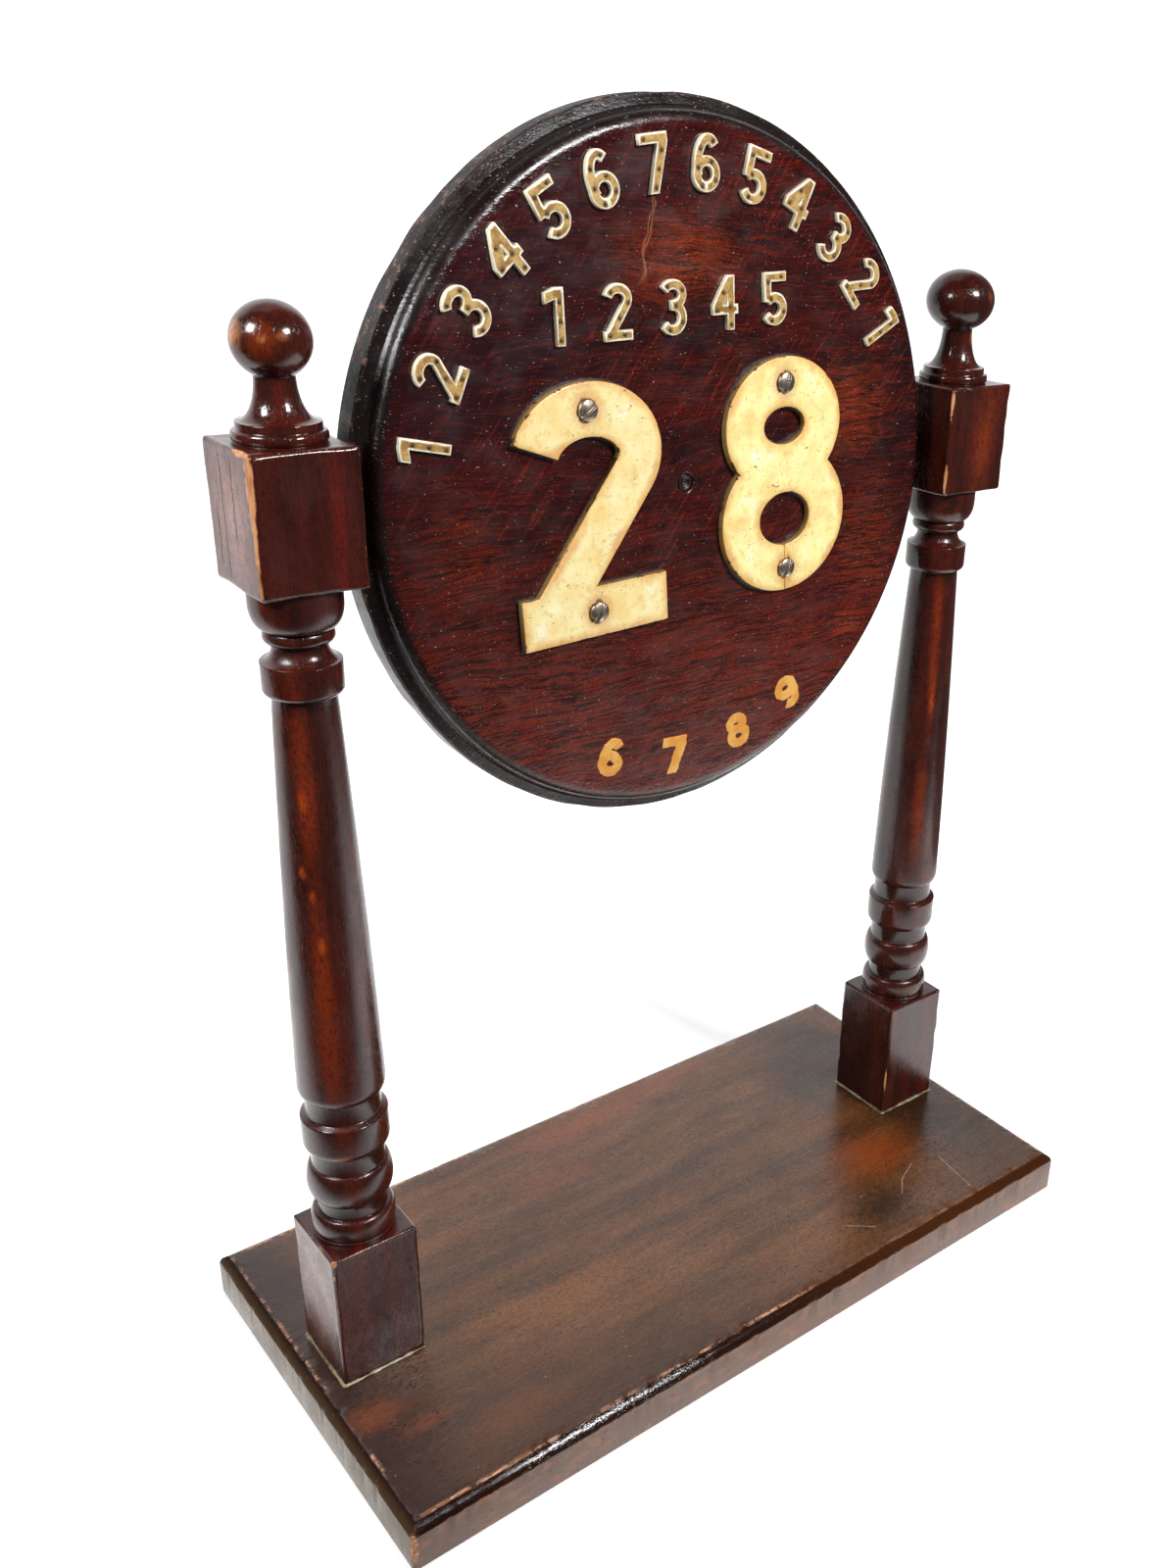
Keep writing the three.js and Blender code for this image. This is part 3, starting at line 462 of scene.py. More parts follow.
def base_shape():
    half = Vector((BASE_LENGTH / 2, BASE_DEPTH / 2))
    crests = [Vector((0, BASE_THICKNESS - BASE_CHAMFER_DROP)), Vector((BASE_CHAMFER_RUN, BASE_THICKNESS))]
    points, values, rings = [], [], []
    for inset, height in base_outline():
        start = len(points)
        near = min((Vector((inset, height)) - crest).length for crest in crests)
        for spot, outward in ring(half, inset, BASE_CORNER, BASE_PITCH):
            chip = max(noise.noise(Vector((spot.x, spot.y, height)) * 0.09) - 0.15, 0) * 0.6
            chip += max(noise.noise(Vector((spot.x, spot.y, 7)) * 0.35) - 0.1, 0) * 0.9
            chip *= math.exp(-near / 0.9)
            points.append((spot.x - outward.x * chip, spot.y - outward.y * chip, height - chip * 0.7))
            values.append(math.exp(-near / 1.1))
        rings.append(list(range(start, len(points))))
    faces = skin(rings) + [rings[0], rings[-1]]
    return {"points": points, "faces": faces, "values": {"relief": values}}


# The round board and the plug in its middle

def disc_outline():
    rim = DISC_RADIUS - DISC_RIM_WIDTH
    round_foot = DISC_THICKNESS - DISC_FIELD_ROUND
    hole = PLUG_DIAMETER / 2 + PLUG_GAP
    outline = [(hole, 4), (hole, 0.4), (hole + 0.4, 0), (60, 0)]
    outline += [(DISC_RADIUS - DISC_BACK_EASE, 0), (DISC_RADIUS, DISC_BACK_EASE)]
    outline.append((DISC_RADIUS, DISC_EDGE_WIDTH))
    outline += [(rim, DISC_EDGE_WIDTH + DISC_RIM_DROP), (rim - DISC_FIELD_SLOPE_RUN, round_foot)]
    for k in range(1, 13):
        angle = k / 12 * math.pi / 2
        inset = DISC_FIELD_SLOPE_RUN + DISC_FIELD_ROUND * (1 - math.cos(angle))
        outline.append((rim - inset, round_foot + DISC_FIELD_ROUND * math.sin(angle)))
    outline += [(126, DISC_THICKNESS), (60, DISC_THICKNESS), (hole + 0.5, DISC_THICKNESS)]
    return outline + [(hole, DISC_THICKNESS - 0.5), (hole, 4)]


def disc_shape():
    shape = lathe(softened(disc_outline(), DISC_ARRIS_ROUND), DISC_SEGMENTS)
    turn = Matrix.Rotation(math.pi / 2, 4, "X")
    points = []
    for x, y, height in shape["points"]:
        angle = math.atan2(y, x)
        rough = noise.noise(Vector((math.cos(angle) * 9, math.sin(angle) * 9, height * 0.2)))
        reach = math.hypot(x, y)
        worn = max(rough - 0.1, 0) * 0.9 * math.exp(-abs(reach - DISC_RADIUS) / 1.2)
        scale = 1 - worn / reach
        points.append(turn @ Vector((x * scale, y * scale, height - DISC_THICKNESS / 2)))
    return {**shape, "points": points}


def plug_outline():
    radius = PLUG_DIAMETER / 2
    top = PLUG_DEPTH - 0.4
    outline = [(0, 0), (radius, 0), (radius, top), (radius - PLUG_LIP, top)]
    outline += [(radius - PLUG_LIP * 2, top - PLUG_DISH), (0.6, top - 0.8), (0, top - 1.2)]
    return softened(outline, 0.3)


# Plain figures, each in a box round the origin: x across, y up

def ellipse(middle, radii, start, end, steps):
    angles = np.radians(np.linspace(start, end, steps + 1))
    return [(middle[0] + radii[0] * math.cos(a), middle[1] + radii[1] * math.sin(a)) for a in angles]


def stroke_along(points, width):
    """The outline of a stroke that follows a line of points."""
    left, right = [], []
    for k, point in enumerate(points):
        before = Vector(points[max(k - 1, 0)])
        after = Vector(points[min(k + 1, len(points) - 1)])
        along = (after - before).normalized()
        side = Vector((-along.y, along.x)) * (width / 2)
        left.append(tuple(Vector(point) + side))
        right.insert(0, tuple(Vector(point) - side))
    return left + right


def bar(left, bottom, right, top):
    return [(left, bottom), (right, bottom), (right, top), (left, top)]


def halves(middle, radii, width, steps):
    """A closed stroke round an ellipse, as two halves."""
    inner = (radii[0] - width, radii[1] - width)
    made = []
    for start in (-90, 90):
        outside = ellipse(middle, radii, start, start + 180, steps)
        made.append(outside + ellipse(middle, inner, start + 180, start, steps))
    return made


def figure(digit, height, width, stroke, steps=24):
    """The polygons that together make up a figure."""
    x, y = width / 2, height / 2
    bowls = (height + stroke) / 2
    upper, lower = (x, bowls * 0.47), (x, bowls * 0.53)
    high, low = (0, y - upper[1]), (0, lower[1] - y)

    def arc(middle, radii, start, end):
        return ellipse(middle, (radii[0] - stroke / 2, radii[1] - stroke / 2), start, end, steps)

    def bowl(middle, radii, start, end):
        return stroke_along(arc(middle, radii, start, end), stroke)

    if digit == "1":
        foot = y - x * 0.55
        edge = stroke * 0.55
        flag = [(-stroke / 2, y), (0, y), (0, foot), (-x, foot - edge), (-x, foot + edge)]
        return [bar(-stroke / 2, -y, stroke / 2, y), flag]
    if digit == "2":
        neck = arc(high, upper, 165, -28) + [(stroke * 0.62 - x, stroke / 2 - y)]
        return [stroke_along(neck, stroke), bar(-x, -y, x, stroke - y)]
    if digit == "3":
        return [bowl(high, upper, 150, -100), bowl(low, lower, 100, -150)]
    if digit == "4":
        foot = -y * 0.42
        right = x - stroke / 2
        left = right - stroke
        slant = [(left, y), (right, y), (stroke - x, foot), (-x, foot), (-x, foot + stroke)]
        return [bar(left, -y, right, y), bar(-x, foot, x, foot + stroke), slant]
    if digit == "5":
        reach = x * 0.9
        stem = bar(-reach, low[1] + lower[1] * 0.45, stroke - reach, y)
        return [bar(-reach, y - stroke, reach, y), stem, bowl(low, lower, 140, -150)]
    if digit == "6":
        return [bowl((0, 0), (x, y), 48, 215)] + halves(low, lower, stroke, steps)
    if digit == "7":
        foot = -x * 0.55
        shelf = y - stroke
        slant = [(x, y), (x - stroke, y), (x - stroke * 1.3, shelf)]
        slant += [(foot, -y), (foot + stroke * 1.1, -y), (x, shelf)]
        return [bar(-x, shelf, x, y), slant]
    if digit == "8":
        slim = (upper[0] * 0.92, upper[1])
        return halves(high, slim, stroke, steps) + halves(low, lower, stroke, steps)
    turned = figure("6", height, width, stroke, steps)
    return [[(-a, -b) for a, b in polygon] for polygon in turned]


def counter_clockwise(polygon):
    area = sum(a[0] * b[1] - b[0] * a[1] for a, b in zip(polygon, polygon[1:] + polygon[:1]))
    return polygon if area > 0 else polygon[::-1]


def rims(faces):
    """The closed rims of a set of faces, each as a list of point numbers."""
    edges = {(a, b) for face in faces for a, b in zip(face, face[1:] + face[:1])}
    following = {a: b for a, b in edges if (b, a) not in edges}
    loops = []
    while following:
        loop = [next(iter(following))]
        while loop[-1] in following:
            loop.append(following.pop(loop[-1]))
        loops.append(loop[:-1])
    return loops


def outlines(polygons):
    """The rims of the polygons' union, with the inside on the left."""
    points, faces = [], []
    for polygon in map(counter_clockwise, polygons):
        faces.append(list(range(len(points), len(points) + len(polygon))))
        points += [Vector(point) for point in polygon]
    made = geometry.delaunay_2d_cdt(points, [], faces, 0, 1e-5, True)
    places, triangles = made[0], [face for face, source in zip(made[2], made[5]) if source]
    loops = []
    for loop in rims(triangles):
        kept = []
        for k in loop:
            if not kept or (places[k] - kept[-1]).length > 0.03:
                kept.append(places[k])
        if (kept[0] - kept[-1]).length < 0.03:
            kept.pop()
        loops.append(kept)
    return loops


def ragged(loop, pitch, amount, seed):
    """The loop with more points, moved a little this way and that."""
    made = []
    for k, here in enumerate(loop):
        after = loop[(k + 1) % len(loop)]
        count = max(1, round((after - here).length / pitch))
        made += [here.lerp(after, n / count) for n in range(count)]
    stirred = []
    for spot in made:
        place = Vector((spot.x, spot.y, seed))
        stir = noise.noise_vector(place * 0.55) + 0.5 * noise.noise_vector(place * 1.3)
        stirred.append(spot + Vector((stir.x, stir.y)) * amount)
    return stirred


def drawn_in(loop, amount):
    made = []
    for k, here in enumerate(loop):
        into = (here - loop[k - 1]).normalized()
        out = (loop[(k + 1) % len(loop)] - here).normalized()
        side = Vector((-into.y - out.y, into.x + out.x)).normalized()
        lean = max(side.dot(Vector((-into.y, into.x))), 0.5)
        made.append(here + side * (amount / lean))
    return made


def extent(loops):
    """The lowest and the highest coordinates of some loops."""
    points = np.concatenate([np.array(loop) for loop in loops])
    return points.min(0), points.max(0)


def to_rim(places, loops):
    """The distance of each place to the nearest rim, and whether it lies inside."""
    nearest = np.full(len(places), 1e9)
    crossings = np.zeros(len(places), int)
    for loop in loops:
        start = np.array(loop)
        run = np.roll(start, -1, 0) - start
        for a, d in zip(start, run):
            part = np.clip(((places - a) @ d) / (d @ d), 0, 1)
            nearest = np.minimum(nearest, np.hypot(*(places - a - part[:, None] * d).T))
            spans = (a[1] > places[:, 1]) != (a[1] + d[1] > places[:, 1])
            with np.errstate(divide="ignore", invalid="ignore"):
                cross = a[0] + (places[:, 1] - a[1]) / d[1] * d[0]
            crossings += spans & (places[:, 0] < cross)
    return nearest, crossings % 2 == 1


def net(loops, lines, spots):
    """Triangles that fill the loops, with the lines as edges and the spots as points."""
    points, edges = [], []
    for loop in loops + lines:
        start = len(points)
        points += [Vector(point) for point in loop]
        edges += [(start + k, start + (k + 1) % len(loop)) for k in range(len(loop))]
    points += [Vector(spot) for spot in spots]
    made = geometry.delaunay_2d_cdt(points, edges, [], 0, 1e-5, False)
    places = np.array(made[0])
    middles = np.array([places[face].mean(0) for face in made[2]])
    inside = to_rim(middles, loops)[1]
    return places, [list(face) for face, kept in zip(made[2], inside) if kept]


def plate(loops, thickness, rounding, pitch, height=None):
    """A flat plate with its back at z = 0 and rounded front edges.

    Each point's inset is its distance to the rim, and height bends the front.
    """
    low, high = extent(loops)
    lines = [drawn_in(loop, rounding * share) for share in (0.12, 0.4, 0.9) for loop in loops]
    columns, rows = np.arange(low[0], high[0], pitch), np.arange(low[1], high[1], pitch)
    grid = np.array([(x, y) for x in columns for y in rows])
    gap, within = to_rim(grid, loops)
    places, faces = net(loops, lines, grid[within & (gap > rounding + pitch * 0.4)])
    gap = to_rim(places, loops)[0]
    bent = np.clip(rounding - gap, 0, rounding)
    tops = thickness - rounding + np.sqrt(np.maximum(rounding ** 2 - bent ** 2, 0))
    if height is not None:
        tops += height(places)
    points = [(x, y, z) for (x, y), z in zip(places, tops)]
    insets = list(gap)
    for loop in rims(faces):
        start = len(points)
        points += [(*places[k], 0) for k in loop]
        insets += [0] * len(loop)
        for k in range(len(loop)):
            m = (k + 1) % len(loop)
            faces.append([loop[m], loop[k], start + k, start + m])
    back, back_faces = net(loops, [], [])
    start = len(points)
    points += [(x, y, 0) for x, y in back]
    insets += [0] * len(back)
    faces += [[start + k for k in reversed(face)] for face in back_faces]
    return {"points": points, "faces": faces, "values": {"inset": insets}}


def nail_places(loops, stroke, apart, pitch=0.5):
    """Places for nails along the middle of a figure's strokes."""
    low, high = extent(loops)
    columns, rows = np.arange(low[0], high[0], pitch), np.arange(low[1], high[1], pitch)
    grid = np.array([(x, y) for y in rows for x in columns])
    gap, within = to_rim(grid, loops)
    chosen = []
    for spot in grid[within & (gap > stroke * 0.42)]:
        if all(math.dist(spot, other) > apart for other in chosen):
            chosen.append(tuple(spot))
    return chosen


def ways_to(points, places):
    """The distance of each point to the nearest of some places, as seen from the front."""
    spots = np.array([point[:2] for point in points])
    return np.min([np.hypot(spots[:, 0] - x, spots[:, 1] - y) for x, y in places], 0)


# Shader graphs

def colour(code):
    parts = [((code >> shift) & 255) / 255 for shift in (16, 8, 0)]
    return tuple(c / 12.92 if c <= 0.04045 else ((c + 0.055) / 1.055) ** 2.4 for c in parts) + (1,)


class Value:
    """What a node gives at each point, with plain arithmetic on numbers. | gives the larger one."""

    def __init__(self, graph, socket):
        self.graph = graph
        self.socket = socket

    def __add__(self, other):
        return self.graph.math("ADD", self, other)

    def __sub__(self, other):
        return self.graph.math("SUBTRACT", self, other)

    def __rsub__(self, other):
        return self.graph.math("SUBTRACT", other, self)

    def __mul__(self, other):
        return self.graph.math("MULTIPLY", self, other)

    def __or__(self, other):
        return self.graph.math("MAXIMUM", self, other)

    def __abs__(self):
        return self.graph.math("ABSOLUTE", self)

    def clamped(self):
        self.socket.node.use_clamp = True
        return self


class Graph:
    """A node tree, with short ways to add to it. A colour may be given as its hex code."""

    def __init__(self, tree):
        self.tree = tree
        tree.nodes.clear()

    def add(self, kind, inputs=None, **settings):
        node = self.tree.nodes.new(kind)
        for key, value in settings.items():
            setattr(node, key, value)
        for key, value in (inputs or {}).items():
            socket = node.inputs[key]
            if isinstance(value, Value):
                self.tree.links.new(value.socket, socket)
            else:
                is_code = socket.type == "RGBA" and isinstance(value, int)
                socket.default_value = colour(value) if is_code else value
        return node

    def get(self, output, kind, inputs=None, **settings):
        """One output of a new node."""
        return Value(self, self.add(kind, inputs, **settings).outputs[output])

    def math(self, operation, a, b=0.0):
        return self.get(0, "ShaderNodeMath", {0: a, 1: b}, operation=operation)

    def vector(self, operation, a, b=None, scale=None):
        inputs = {0: a}
        if b is not None:
            inputs[1] = b
        if scale is not None:
            inputs["Scale"] = scale
        output = "Value" if operation in ("LENGTH", "DOT_PRODUCT") else "Vector"
        return self.get(output, "ShaderNodeVectorMath", inputs, operation=operation)

    def band(self, value, low, high, bottom=0.0, top=1.0):
        """Rises smoothly from bottom to top as the value goes from low to high."""
        inputs = {"Value": value, "From Min": low, "From Max": high, "To Min": bottom, "To Max": top}
        return self.get(0, "ShaderNodeMapRange", inputs, interpolation_type="SMOOTHSTEP")

    def mix(self, share, a, b):
        return self.get(2, "ShaderNodeMix", {0: share, 6: a, 7: b}, data_type="RGBA")


class Material(Graph):
    """A material's nodes, with lengths in millimetres from a seat's own origin and along its axes."""

    def __init__(self, name, order="XYZ", seat=Matrix.Identity(4)):
        self.material = bpy.data.materials.new(name)
        self.material.use_nodes = True
        super().__init__(self.material.node_tree)
        inputs = {
            "Vector": self.get("Object", "ShaderNodeTexCoord"),
            "Location": seat.to_translation(),
            "Rotation": seat.to_euler(),
            "Scale": (MM, MM, MM),
        }
        self.place = self.get(0, "ShaderNodeMapping", inputs, vector_type="TEXTURE")
        if order != "XYZ":
            parts = dict(zip("XYZ", self.axes()))
            inputs = {k: parts[axis] for k, axis in enumerate(order)}
            self.place = self.get(0, "ShaderNodeCombineXYZ", inputs)

    def axes(self):
        parts = self.add("ShaderNodeSeparateXYZ", {0: self.place})
        return [Value(self, output) for output in parts.outputs]

    def bent(self, moves):
        """The place, moved by the given amounts along numbered axes."""
        return self.vector("ADD", self.place, self.get(0, "ShaderNodeCombineXYZ", moves))

    def turned(self, angle):
        inputs = {"Vector": self.place, "Angle": angle}
        return self.get(0, "ShaderNodeVectorRotate", inputs, rotation_type="Z_AXIS")

    def value(self, name):
        return self.get("Fac", "ShaderNodeAttribute", attribute_name=name)

    def noise(self, sizes, detail=2.0, rough=0.5, shift=0.0, place=None):
        """Noise whose blobs have about the given size, or sizes along x, y and z."""
        across = sizes if isinstance(sizes, tuple) else (sizes, sizes, sizes)
        inputs = {
            "Vector": place or self.place,
            "Location": (shift, shift * 0.7, shift * 1.3),
            "Scale": tuple(1 / size for size in across),
        }
        spot = self.get(0, "ShaderNodeMapping", inputs)
        inputs = {"Vector": spot, "Scale": 1, "Detail": detail, "Roughness": rough}
        return self.get("Fac", "ShaderNodeTexNoise", inputs)

    def swing(self, value, reach):
        """A value round a half, as a swing about zero."""
        return (value - 0.5) * reach

    def split(self, across, along, line, middle, reach, wander, width):
        """1 in a thin crack that wanders about a line, and a softer value on its lips."""
        bend = self.swing(self.noise(9, 3), wander)
        off = abs(across - self.math("ADD", line, bend))
        within = self.band(abs(along - middle), reach, reach * 0.6)
        crack = self.band(off, width * 1.8, width * 0.4) * within
        lips = self.band(off, width * 4.5, width * 2) * within
        return crack, lips

    def scratch(self, start, end, width):
        """1 along a straight scratch between two places."""
        run = Vector(end) - Vector(start)
        away = self.vector("SUBTRACT", self.place, start)
        part = self.math("DIVIDE", self.vector("DOT_PRODUCT", away, run), run.dot(run)).clamped()
        off = self.vector("SUBTRACT", away, self.vector("SCALE", run, scale=part))
        return self.band(self.vector("LENGTH", off), width, width * 0.3)

    def spot(self, centre, radii, soft=0.5, ragged=0.0):
        """1 in the middle of an ellipsoid and 0 outside it."""
        away = self.vector("SUBTRACT", self.place, centre)
        far = self.vector("LENGTH", self.vector("DIVIDE", away, radii))
        if ragged:
            far = far + self.noise(3, 4) * ragged - ragged / 2
        return self.band(far, 1, 1 - soft)

    def cover(self, mask, code, strength=None):
        """Lays a colour over the base colour where the mask is 1."""
        if strength is not None:
            mask = mask * strength
        self.base = self.mix(mask, self.base, code)

    def finish(self, rough, bumps=(), metallic=0.0, ior=1.5):
        """bumps are (height, strength, distance in mm)."""
        inputs = {"Base Color": self.base, "Roughness": rough, "Metallic": metallic, "IOR": ior}
        for height, strength, distance in bumps:
            bump = {"Height": height, "Strength": strength, "Distance": distance * MM}
            if "Normal" in inputs:
                bump["Normal"] = inputs["Normal"]
            inputs["Normal"] = self.get(0, "ShaderNodeBump", bump)
        shader = self.get(0, "ShaderNodeBsdfPrincipled", inputs)
        self.tree.nodes.active = self.add("ShaderNodeOutputMaterial", {"Surface": shader})
        return self.material


# Woods. The grain runs along the first axis of the order.

def disc_look():
    """Dark polished oak: broken lines of pores over red-brown wood, crossed by slanting rays."""
    g = Material("disc_oak_polish", "XZY", BOARD)
    x, up, _ = g.axes()
    wave = g.swing(g.noise((70, 45, 60), 2, shift=11), 16)
    ripple = g.swing(g.noise((8, 5, 8), 2, shift=23), 2.2)
    bent = g.bent({1: wave + ripple})
    tone = g.noise((95, 22, 40), 3, 0.6, shift=3, place=bent)
    cloud = g.noise(45, 3, 0.55, shift=20)
    fibre = g.noise((13, 0.7, 1.0), 4, 0.7, place=bent)
    rings = g.noise((80, 3.6, 6), 2, 0.5, shift=31, place=bent)
    pore = g.noise((6, 0.6, 1.0), 3, 0.65, shift=7, place=bent)
    grain = g.noise((0.9, 0.7, 0.8), 2, 0.6, shift=37)
    pores = (g.band(pore, 0.5, 0.58) * g.band(rings, 0.42, 0.56, 0.15, 1)).clamped()
    ray = g.noise((28, 1.6, 3), 3, 0.6, shift=17, place=g.turned(math.radians(-52)))
    rays = g.band(ray, 0.55, 0.65) * g.band(cloud, 0.38, 0.56, 0.2, 1)

    g.base = g.mix(g.band(tone, 0.38, 0.64), 0x200305, 0x400906)
    g.cover(g.band(up, -5, -90, 0, 0.9), 0x722a1a)
    g.cover(g.band(cloud, 0.48, 0.7, 0, 0.6), 0x54120a)
    g.cover(g.band(fibre, 0.49, 0.63, 0, 0.6), 0x7a1c08)
    for centre, radii, strength in (
        ((-6, 84, 0), (42, 25, 90), 0.7),
        ((86, 22, 0), (34, 30, 90), 0.55),
        ((92, -72, 0), (15, 9, 90), 0.7),
        ((-108, -12, 0), (34, 34, 90), 0.3),
        ((100, -32, 0), (26, 40, 90), 0.4),
    ):
        glow = g.spot(centre, radii, 0.9, 0.6) * strength
        g.cover(glow * g.band(fibre, 0.34, 0.56, 0.35, 1), 0xa83c0c)
    g.cover(rays, 0x8e2a0c, 0.55)
    lines = g.band(g.noise((24, 0.8, 1.0), 3, 0.6, shift=71, place=bent), 0.5, 0.6)
    g.cover(lines * g.band(up, 20, -40, 0.55, 0.8), 0x1e0a0b)
    g.cover(pores, 0x110609, 0.85)
    g.cover(g.band(grain, 0.56, 0.36, 0, 0.6), 0x120407)

    # Towards the upper left a plum-grey painted sheen stands for the polish's reflection
    painted_plum_sheen = up * 0.6 - x * 0.8 + g.swing(cloud, 120)
    g.cover(g.band(painted_plum_sheen, 40, 110), 0x26060e, 0.5)

    # The rim: near black, with a pale grey painted reflection on the edge at the lower left, and rubbed
    # through to bare brown here and there
    stands = g.value("relief")
    across = g.vector("LENGTH", g.vector("MULTIPLY", g.place, (1, 1, 0)))
    groove = g.band(across, DISC_RADIUS - 10.5, DISC_RADIUS - 7)
    g.cover(groove, 0x0c0808, 0.88)
    edge = g.band(across, DISC_RADIUS - 1.2, DISC_RADIUS - 0.3)
    # Pale grey painted reflection on the edge towards the lower left
    painted_edge_reflection = g.band(up, -10, -70, 0, 0.7) * g.band(x, 60, -20)
    g.cover(edge * painted_edge_reflection, 0x7c787c)
    chips = g.noise(4, 4, 0.7, shift=5)
    worn = g.band(stands, 0.14, 0.4) * g.band(chips, 0.56, 0.63)
    g.cover(worn, 0x9a6a50, 0.75)

    # The split in the upper half: pale brown lips with a dark line in places
    crack, lips = g.split(x, up, up * 0.2 - 36, 90, 17, 7, 0.22)
    g.cover(lips, 0x9c5c3c, 0.75)
    crack = crack * g.band(up, 86, 92, 0.3, 1)
    g.cover(crack, 0x0c0505)

    # Small light nicks and dust
    nick = g.band(g.noise((1.2, 0.8, 1.0), 2, 0.5, shift=43), 0.72, 0.745)
    fleck = g.band(g.noise((1.6, 0.9, 1.2), 3, 0.6, shift=90), 0.66, 0.7)
    g.cover(nick | fleck * groove, 0xb0a09c, 0.75)

    # The rounded brow of the field is glossier, and the edge is dull towards the top
    smear = g.noise((16, 11, 16), 3, 0.6, shift=9)
    brow = (g.band(across, DISC_RADIUS - 14.5, DISC_RADIUS - 12) - groove).clamped()
    rough = g.band(smear, 0.35, 0.7, 0.22, 0.38) + groove * 0.02
    rough = (rough - brow * 0.13).clamped()
    rough = (rough + edge * g.band(up, -40, 30, 0.0, 0.3)).clamped()
    swell = g.noise((14, 7, 10), 2, 0.5, shift=2)
    scuffs = g.noise((2.6, 1.1, 1.4), 3, 0.65, shift=61)
    bumps = [
        (swell, 0.5, 0.5),
        (fibre * 0.4 - pores - crack * 3, 0.2, 0.04),
        (scuffs, (groove | brow) * 0.5, 0.35),
        (chips, g.band(stands, 0.05, 0.4, 0.1, 0.7), 0.4),
    ]
    return g.finish(rough, bumps)


def post_look(name, seat, shift, warm, spots=(), streaks_and_painted_sheen=(), cracks=(), gloss=0.0):
    """Fine hard wood, stained dark red-brown, that shows through the stain in a warm flame."""
    g = Material(name, "ZXY", seat)
    up, _, deep = g.axes()
    lift = g.swing(g.noise((90, 24, 24), 2, shift=shift), 9)
    bent = g.bent({1: lift, 2: lift})
    tone = g.noise((120, 9, 9), 3, 0.6, shift=shift + 4, place=bent)
    fibre = g.noise((20, 1.1, 1.1), 4, 0.7, shift=shift, place=bent)
    pores = g.band(g.noise((3.4, 0.5, 0.5), 2, 0.5, shift=shift + 9, place=bent), 0.57, 0.67)
    cloud = g.noise((26, 12, 12), 4, 0.65, shift=shift + 13)
    grain = g.noise((1.6, 0.9, 0.9), 3, 0.6, shift=shift + 41)
    g.base = g.mix(g.band(tone, 0.38, 0.64), 0x2e0f0a, 0x48160e)
    g.cover(g.band(cloud, 0.48, 0.72, 0, warm), 0x64260f)
    g.cover(g.band(fibre, 0.48, 0.7, 0, 0.35), 0x582012)
    # Streaks of the wood, and the painted sheen that is listed with them
    for centre, radii, strength, code in streaks_and_painted_sheen:
        glow = g.spot(centre, radii, 0.95, 0.5) * strength
        g.cover(glow * g.band(cloud, 0.32, 0.56, 0.5, 1), code)
    g.cover(pores, 0x160806, 0.65)
    g.cover(g.band(grain, 0.52, 0.34, 0, 0.45), 0x1a0907)

    # Darker in the hollows, and bare wood along the edges
    stands = g.value("relief")
    g.cover(g.band(stands, -0.1, -0.55, 0, 0.85), 0x0f0806)
    chips = g.noise((6, 3.2, 3.2), 4, 0.7, shift=shift + 21)
    worn = g.band(stands, 0.45, 0.85) * g.band(chips, 0.58, 0.66)
    for centre, radii in spots:
        worn = worn | g.spot(centre, radii, 0.35, 0.8)
    bare = g.mix(g.band(fibre, 0.36, 0.6), 0x9a5428, 0xdca06c)
    g.cover(worn, bare, 0.9)
    dark = 0.0
    for line, middle, reach in cracks:
        crack = g.split(deep, up, line, middle, reach, 3, 0.5)[0]
        g.cover(crack, 0x0d0505)
        dark = crack + dark
    smear = g.noise((18, 12, 12), 3, 0.6, shift=shift + 30)
    beads = g.band(abs(stands), 0.08, 0.3, 0, 0.09) * g.band(stands, 0.7, 0.4)
    rough = g.band(smear, 0.35, 0.7, 0.2 - gloss, 0.33 - gloss) - beads
    rough = (rough + worn * 0.3).clamped()
    swell = g.noise((22, 9, 9), 2, 0.5, shift=shift + 33)
    heights = fibre * 0.5 - pores - g.math("MULTIPLY", dark, 5)
    bumps = [(swell, 0.35, 0.4), (heights, 0.4, 0.07), (chips, g.band(stands, 0.4, 0.9, 0.0, 0.6), 0.35)]
    return g.finish(rough, bumps)


